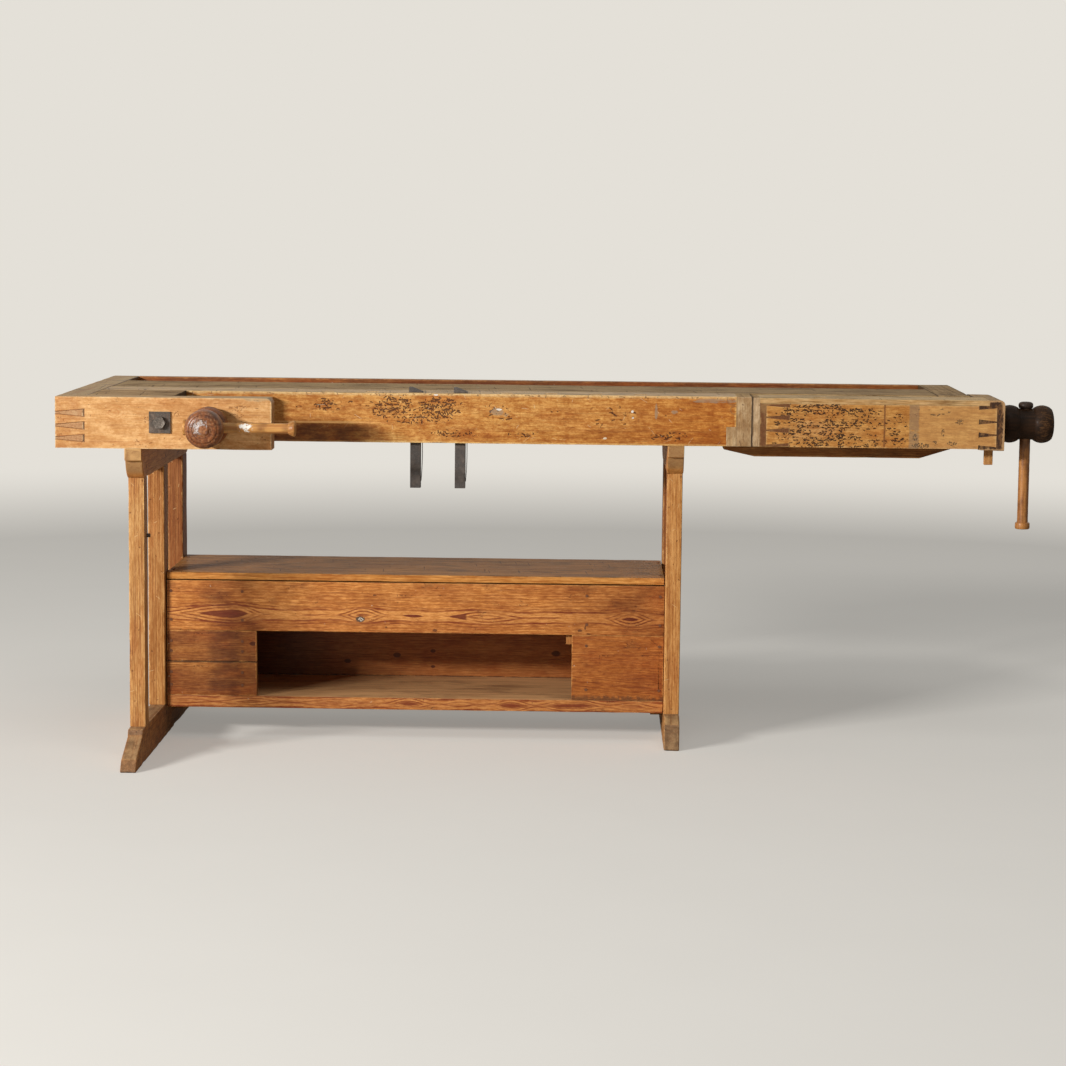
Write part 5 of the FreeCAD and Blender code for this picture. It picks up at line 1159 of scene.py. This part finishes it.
def hubProfile(bulb):
    look = hubLook
    waist = look["waistRadius"]
    face = look["end"]
    outline = [(look["gap"], 0), (look["gap"], waist - 1)]
    outline += arc(look["gap"] + 1, look["bead"] + 2, waist, look["beadRadius"] - waist)
    outline += arc(look["waist"] - 1, face - 6.6, waist, bulb - waist, 20)
    outline += [
        (face - 5.2, bulb * 0.80), (face - 4.6, bulb * 0.755), (face - 5.4, bulb * 0.74),
        (face - 3.4, bulb * 0.70), (face - 2.4, bulb * 0.62), (face - 2.2, bulb * 0.56),
        (face - 3.2, bulb * 0.54), (face - 3.0, bulb * 0.42), (face - 2.6, bulb * 0.35),
        (face - 1.2, bulb * 0.32), (face - 0.3, bulb * 0.24), (face, bulb * 0.12), (face, 0),
    ]
    return outline


def bored(piece, place, turn, radius, length=120):
    # the cross hole for a tommy bar
    bpy.ops.mesh.primitive_cylinder_add(vertices=48, radius=radius * mm, depth=length * mm)
    drill = bpy.context.object
    drill.matrix_world = Matrix.Translation(place) @ turn
    drill.hide_render = True
    hole = piece.modifiers.new("hole", "BOOLEAN")
    hole.object = drill
    hole.solver = "EXACT"
    graph = bpy.context.evaluated_depsgraph_get()
    mesh = bpy.data.meshes.new_from_object(piece.evaluated_get(graph))
    piece.modifiers.clear()
    piece.data = mesh
    mesh.set_sharp_from_angle(angle=turnedSharp)
    bpy.data.objects.remove(drill)


def screwPlaces():
    # each screw's axis starts at the wood behind its hub, and runs outwards
    low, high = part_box("front_screw")
    front = Vector(((low.x + high.x) / 2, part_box("vise_arm")[0].y, (low.z + high.z) / 2))
    tailLow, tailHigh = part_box("tail_screw")
    tail = Vector((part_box("tail_end_block")[1].x, (tailLow.y + tailHigh.y) / 2, (tailLow.z + tailHigh.z) / 2))
    return {
        "front": Matrix.Translation(front) @ Matrix.Rotation(math.radians(-90), 4, "Z"),
        "tail": Matrix.Translation(tail),
    }


threadLook = {"pitch": 11.5, "depth": 3.6}
# crests, necks and nose of the shafts as radii, and the play beside each garter
shaftLook = {"frontCrest": 25, "nose": 21, "noseNeck": 17, "tailCrest": 22.5, "tailNeck": 14, "play": 0.3}
hubFinishes = {
    "front": {"pale": (134, 78, 40), "deep": (92, 48, 24), "dark": (38, 20, 11), "lines": 0.9, "rough": 0.34},
    "tail": {"pale": (52, 33, 19), "deep": (36, 23, 13), "dark": (20, 13, 8), "lines": 0.5, "rough": 0.55},
}
shaftFinish = {"pale": (168, 122, 80), "deep": (132, 90, 56), "dark": (88, 56, 34), "lines": 0.2,
               "rough": 0.5}


def frontHubFinish():
    recipe = turnedFinish("front_hub_finish", hubFinishes["front"], 3)
    x, y, z = recipe.own
    radius = recipe.radius
    # the end is rubbed bare, and a pale silvery patch up and to the left of its middle is a painted highlight
    face = recipe.step(x, 0.1205, 0.1225)
    ragged = recipe.clouds(recipe.spots, scale=190, detail=4, rough=0.6)
    offset = ((y + 0.008) * (y + 0.008) + (z - 0.007) * (z - 0.007)).root()
    flaked = recipe.clouds(recipe.spots, scale=420, detail=4, rough=0.7)
    bareAndHighlight = recipe.step(offset + (ragged - 0.5) * 0.040, 0.019, 0.010) * recipe.step(radius, 0.0080,
                                                                                    0.0105) * face
    bareAndHighlight = bareAndHighlight * recipe.step(flaked, 0.42, 0.52)
    recipe.paint(bareAndHighlight * 0.8, (196, 190, 186))
    boss = recipe.step(radius, 0.0105, 0.0085) * face * recipe.step(ragged, 0.40, 0.55)
    recipe.paint(boss * 0.5, (176, 118, 78))
    rim = recipe.step(ragged, 0.5, 0.66) * recipe.step(x, 0.07, 0.1) * 0.45
    recipe.paint(rim, (176, 132, 92))
    recipe.rough = recipe.rough - bareAndHighlight * 0.08
    return recipe.surface(coat=0.2, shine=0.3)


def tailHubFinish():
    recipe = turnedFinish("tail_hub_finish", hubFinishes["tail"], 9)
    ragged = recipe.speckle((60, 150, 150), 4, 0.65)
    rubbed = recipe.step(ragged, 0.5, 0.62) * recipe.step(recipe.own[0], 0.082, 0.095) * 0.6
    recipe.paint(rubbed, (98, 68, 40))
    recipe.carve(rubbed, 0.3, 0.1)
    return recipe.surface(coat=0.03, shine=0.12)


def plainTurned(name, look, seed):
    return turnedFinish(name, look, seed).surface(coat=0.1, shine=0.25)


def makeScrews():
    places = screwPlaces()
    shaft = plainTurned("screw_shaft_finish", shaftFinish, 5)
    # bulb and bore radius, finish, and the turn of the bore
    hubs = {
        "front": (44, 12.05, frontHubFinish(), Matrix.Rotation(math.radians(90), 4, "Y")),
        "tail": (45, 13.05, tailHubFinish(), Matrix()),
    }
    middle = (hubLook["bead"] + hubLook["waist"]) / 2 * mm
    for end, (bulb, bore, finish, turn) in hubs.items():
        hub = lathe(end + "_screw_hub", hubProfile(bulb), 96)
        hub.matrix_world = places[end]
        bored(hub, places[end] @ Vector((middle, 0, 0)), turn, bore)
        addPiece(hub, end + "_screw", finish)
    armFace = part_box("vise_arm")[0].y
    garter = [(edge.y - armFace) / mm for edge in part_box("front_garter_plate")]
    tip = (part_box("front_screw")[1].y - armFace) / mm
    thread = threaded("front_screw_thread", 0.5 - garter[0], 1, shaftLook["frontCrest"])
    wide, slim, play = shaftLook["nose"], shaftLook["noseNeck"], shaftLook["play"]
    behind, ahead = -garter[1] - play, play - garter[0]
    nose = lathe("front_screw_nose", [
        (-tip, 0), (-tip, wide - 1), (1 - tip, wide), (behind, wide), (behind, slim), (ahead, slim),
        (ahead, 0),
    ])
    for piece in (thread, nose):
        piece.matrix_world = places["front"]
        addPiece(piece, "front_screw", shaft, replaced=False)
    key = [(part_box("tail_end_block")[1].x - edge.x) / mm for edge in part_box("tail_garter_key")]
    inner = (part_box("tail_end_block")[1].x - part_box("tail_screw")[0].x) / mm
    wide, slim = shaftLook["tailCrest"], shaftLook["tailNeck"]
    thread = threaded("tail_screw_thread", -inner, -key[0] - play, wide)
    behind, ahead = -key[0] - play - 0.1, -key[1] + play
    neck = lathe("tail_screw_neck", [
        (behind, 0), (behind, slim), (ahead, slim), (ahead, wide), (1.5, wide), (1.5, 0),
    ])
    for piece in (thread, neck):
        piece.matrix_world = places["tail"]
        addPiece(piece, "tail_screw", shaft, replaced=False)


knobLength = 16
knobs = {
    # (length, radius) from the bar outwards, in millimetres
    "flared": [(0, 0), (0, 13), (1.5, 14.2), (5, 15.4), (9, 17.4), (12, 18), (14.5, 17.2), (15.8, 14.5),
               (15.5, 9), (15.9, 4), (16, 0)],
    "round": [(0, 0), (0, 13.6), (0.6, 15.6), (3, 17.1), (7, 17.5), (11, 17), (14, 14.6), (15.6, 10),
              (16, 5), (16, 0)],
    "plain": [(0, 0), (0, 15), (0.8, 16.6), (3, 17.4), (12, 17.5), (14.6, 17), (15.8, 15), (15.5, 8),
              (16, 0)],
}
bars = {
    "front": {
        "finish": {"pale": (206, 152, 84), "deep": (166, 108, 54), "dark": (112, 66, 32), "lines": 0.3,
                   "rough": 0.4},
        "radius": 12, "ends": ("flared", "flared"),
    },
    "tail": {
        "finish": {"pale": (182, 124, 66), "deep": (140, 86, 42), "dark": (90, 50, 24), "lines": 0.25,
                   "rough": 0.38},
        "radius": 13, "ends": ("plain", "round"),
    },
}


def frontBarFinish():
    recipe = turnedFinish("front_bar_finish", bars["front"]["finish"], 12)
    x, _, z = recipe.own
    # a splash of white paint a third of the way along
    ragged = recipe.clouds(recipe.spots, scale=120, detail=4, rough=0.7)
    band = recipe.step(abs(x - 0.015), 0.022, 0.008)
    splash = recipe.step(ragged + band * 0.16 - abs(z - 0.004) * 9, 0.58, 0.62) * band
    recipe.paint(splash * 0.95, (238, 234, 224))
    recipe.carve(splash, -0.3, 0.1)
    return recipe.surface(coat=0.1, shine=0.3)


def tailBarFinish():
    recipe = turnedFinish("tail_bar_finish", bars["tail"]["finish"], 15)
    ragged = recipe.speckle((30, 90, 90), 3, 0.6)
    hand = recipe.step(recipe.own[0] + (ragged - 0.5) * 0.08, 0.02, 0.10)
    recipe.paint(hand * 0.85, (62, 40, 26))
    recipe.paint(recipe.step(ragged, 0.5, 0.7) * 0.5, (110, 68, 36))
    return recipe.surface(coat=0.12, shine=0.3)


def makeBars():
    finishes = {"front": frontBarFinish(), "tail": tailBarFinish()}
    for end, look in bars.items():
        low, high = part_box(end + "_bar_knobs")
        centre = (low + high) / 2
        turn = Matrix() if end == "front" else Matrix.Rotation(math.radians(-90), 4, "Y")
        place = Matrix.Translation(centre) @ turn
        axis = 0 if end == "front" else 2
        reach = (high[axis] - low[axis]) / 2 / mm
        radius = look["radius"]
        shoulder = reach - knobLength
        outline = [(-shoulder, 0)]
        for step in range(25):
            # a hand-turned bar is never quite even
            hollow = 0.35 * abs(math.sin(step * 1.7))
            outline.append((-shoulder + 2 * shoulder * step / 24, radius - hollow))
        outline.append((shoulder, 0))
        bar = lathe(end + "_bar_turned", outline, 48)
        bar.matrix_world = place
        addPiece(bar, end + "_bar", finishes[end])
        for side, shape, name in zip((-1, 1), look["ends"], ("low", "high")):
            outline = [(shoulder + length, wide) for length, wide in knobs[shape]]
            knob = lathe(f"{end}_bar_knob_{name}", outline)
            knob.matrix_world = place if side > 0 else place @ Matrix.Rotation(math.pi, 4, "Z")
            tone = hubFinishes["tail"] if (end, name) == ("tail", "high") else look["finish"]
            finish = plainTurned(f"{end}_knob_{name}", tone, 20 + side)
            addPiece(knob, end + "_bar_knobs", finish, replaced=side < 0)


makeScrews()
makeBars()
print("screws and bars done")

# stage
floorLook = {"size": 30, "seen": (240, 237, 230), "bounce": (198, 190, 178), "near": 2.5, "far": 7.5,
             "glow": 0.35}
worldFill = 0.14
backdrop = rgb(228, 224, 216)


def makeFloor():
    bpy.ops.mesh.primitive_plane_add(size=floorLook["size"])
    floor = bpy.context.object
    floor.name = "studio_floor"
    recipe = Recipe("studio_floor")
    x, y, _ = recipe.parts(recipe.spots)
    far = (x * x + y * y).root()
    grit = recipe.clouds(recipe.spots, scale=3, detail=4)
    camera = recipe.node("ShaderNodeLightPath", output="Is Camera Ray")
    colour = recipe.blend(camera, rgb(*floorLook["bounce"]), rgb(*floorLook["seen"]))
    colour = recipe.blend(grit * 0.15, colour, rgb(206, 202, 194))
    plain = recipe.node("ShaderNodeBsdfDiffuse", None, {"Color": colour})
    ghost = recipe.node("ShaderNodeEmission", None, {"Color": backdrop, "Strength": 1.0})
    fade = recipe.step(far, floorLook["near"], floorLook["far"]).atLeast(floorLook["glow"]) * camera
    mixed = recipe.node("ShaderNodeMixShader", None, {0: fade, 1: plain, 2: ghost})
    recipe.node("ShaderNodeOutputMaterial", None, {"Surface": mixed})
    floor.data.materials.append(recipe.block)


def makeWorld():
    # the backdrop where the camera looks or a surface mirrors it, and a faint white light elsewhere
    recipe = Recipe("studio", world=True)
    bpy.context.scene.world = recipe.block
    camera = recipe.node("ShaderNodeLightPath", output="Is Camera Ray")
    seen = camera.atLeast(camera.beside("Is Glossy Ray")).atLeast(camera.beside("Is Transmission Ray"))
    light = recipe.node("ShaderNodeBackground", None, {"Color": (1, 1, 1, 1), "Strength": worldFill})
    shown = recipe.node("ShaderNodeBackground", None, {"Color": backdrop})
    mixed = recipe.node("ShaderNodeMixShader", None, {0: seen, 1: light, 2: shown})
    recipe.node("ShaderNodeOutputWorld", None, {"Surface": mixed})


lamps = {
    # azimuth is from the front towards the left, both angles in degrees; distances in metres
    "window": {"azimuth": 47, "height": 15.5, "distance": 9.0, "size": (2.6, 0.3), "power": 900,
               "colour": (1, 0.98, 0.96)},
    "above": {"azimuth": -10, "height": 62, "distance": 6.0, "size": (3.0, 3.0), "power": 60,
              "colour": (1, 1, 1)},
}

lampTarget = Vector((0, -0.1, 0.55))


def makeLamps():
    for name, look in lamps.items():
        turn, rise = math.radians(look["azimuth"]), math.radians(look["height"])
        away = Vector((-math.sin(turn) * math.cos(rise), -math.cos(turn) * math.cos(rise), math.sin(rise)))
        data = bpy.data.lights.new(name, "AREA")
        data.shape = "RECTANGLE"
        data.size, data.size_y = look["size"]
        data.energy = look["power"]
        data.color = look["colour"]
        lamp = newObject(name, data)
        lamp.location = lampTarget + away * look["distance"]
        lamp.rotation_euler = (-away).to_track_quat("-Z", "Y").to_euler()


# camera, in metres and radians
view = {"place": (0.0567, -6.560, 1.2816), "yaw": 0.0202, "pitch": 0.1169, "roll": 0.0101, "lens": 92.87,
        "sensor": 36, "reach": 100}


def makeCamera():
    yaw, pitch, roll = view["yaw"], view["pitch"], view["roll"]
    right = Vector((math.cos(yaw), math.sin(yaw), 0))
    ahead = Vector((-math.sin(yaw) * math.cos(pitch), math.cos(yaw) * math.cos(pitch), -math.sin(pitch)))
    upward = right.cross(ahead)
    x = right * math.cos(roll) + upward * math.sin(roll)
    y = -right * math.sin(roll) + upward * math.cos(roll)
    data = bpy.data.cameras.new("camera")
    data.lens = view["lens"]
    data.sensor_width = view["sensor"]
    data.clip_end = view["reach"]
    camera = newObject("camera", data)
    camera.matrix_world = Matrix.Translation(view["place"]) @ Matrix((x, y, -ahead)).transposed().to_4x4()
    bpy.context.scene.camera = camera


makeFloor()
makeWorld()
makeLamps()
makeCamera()
bpy.context.scene.view_settings.view_transform = "Standard"
print("stage, lamps and camera done")
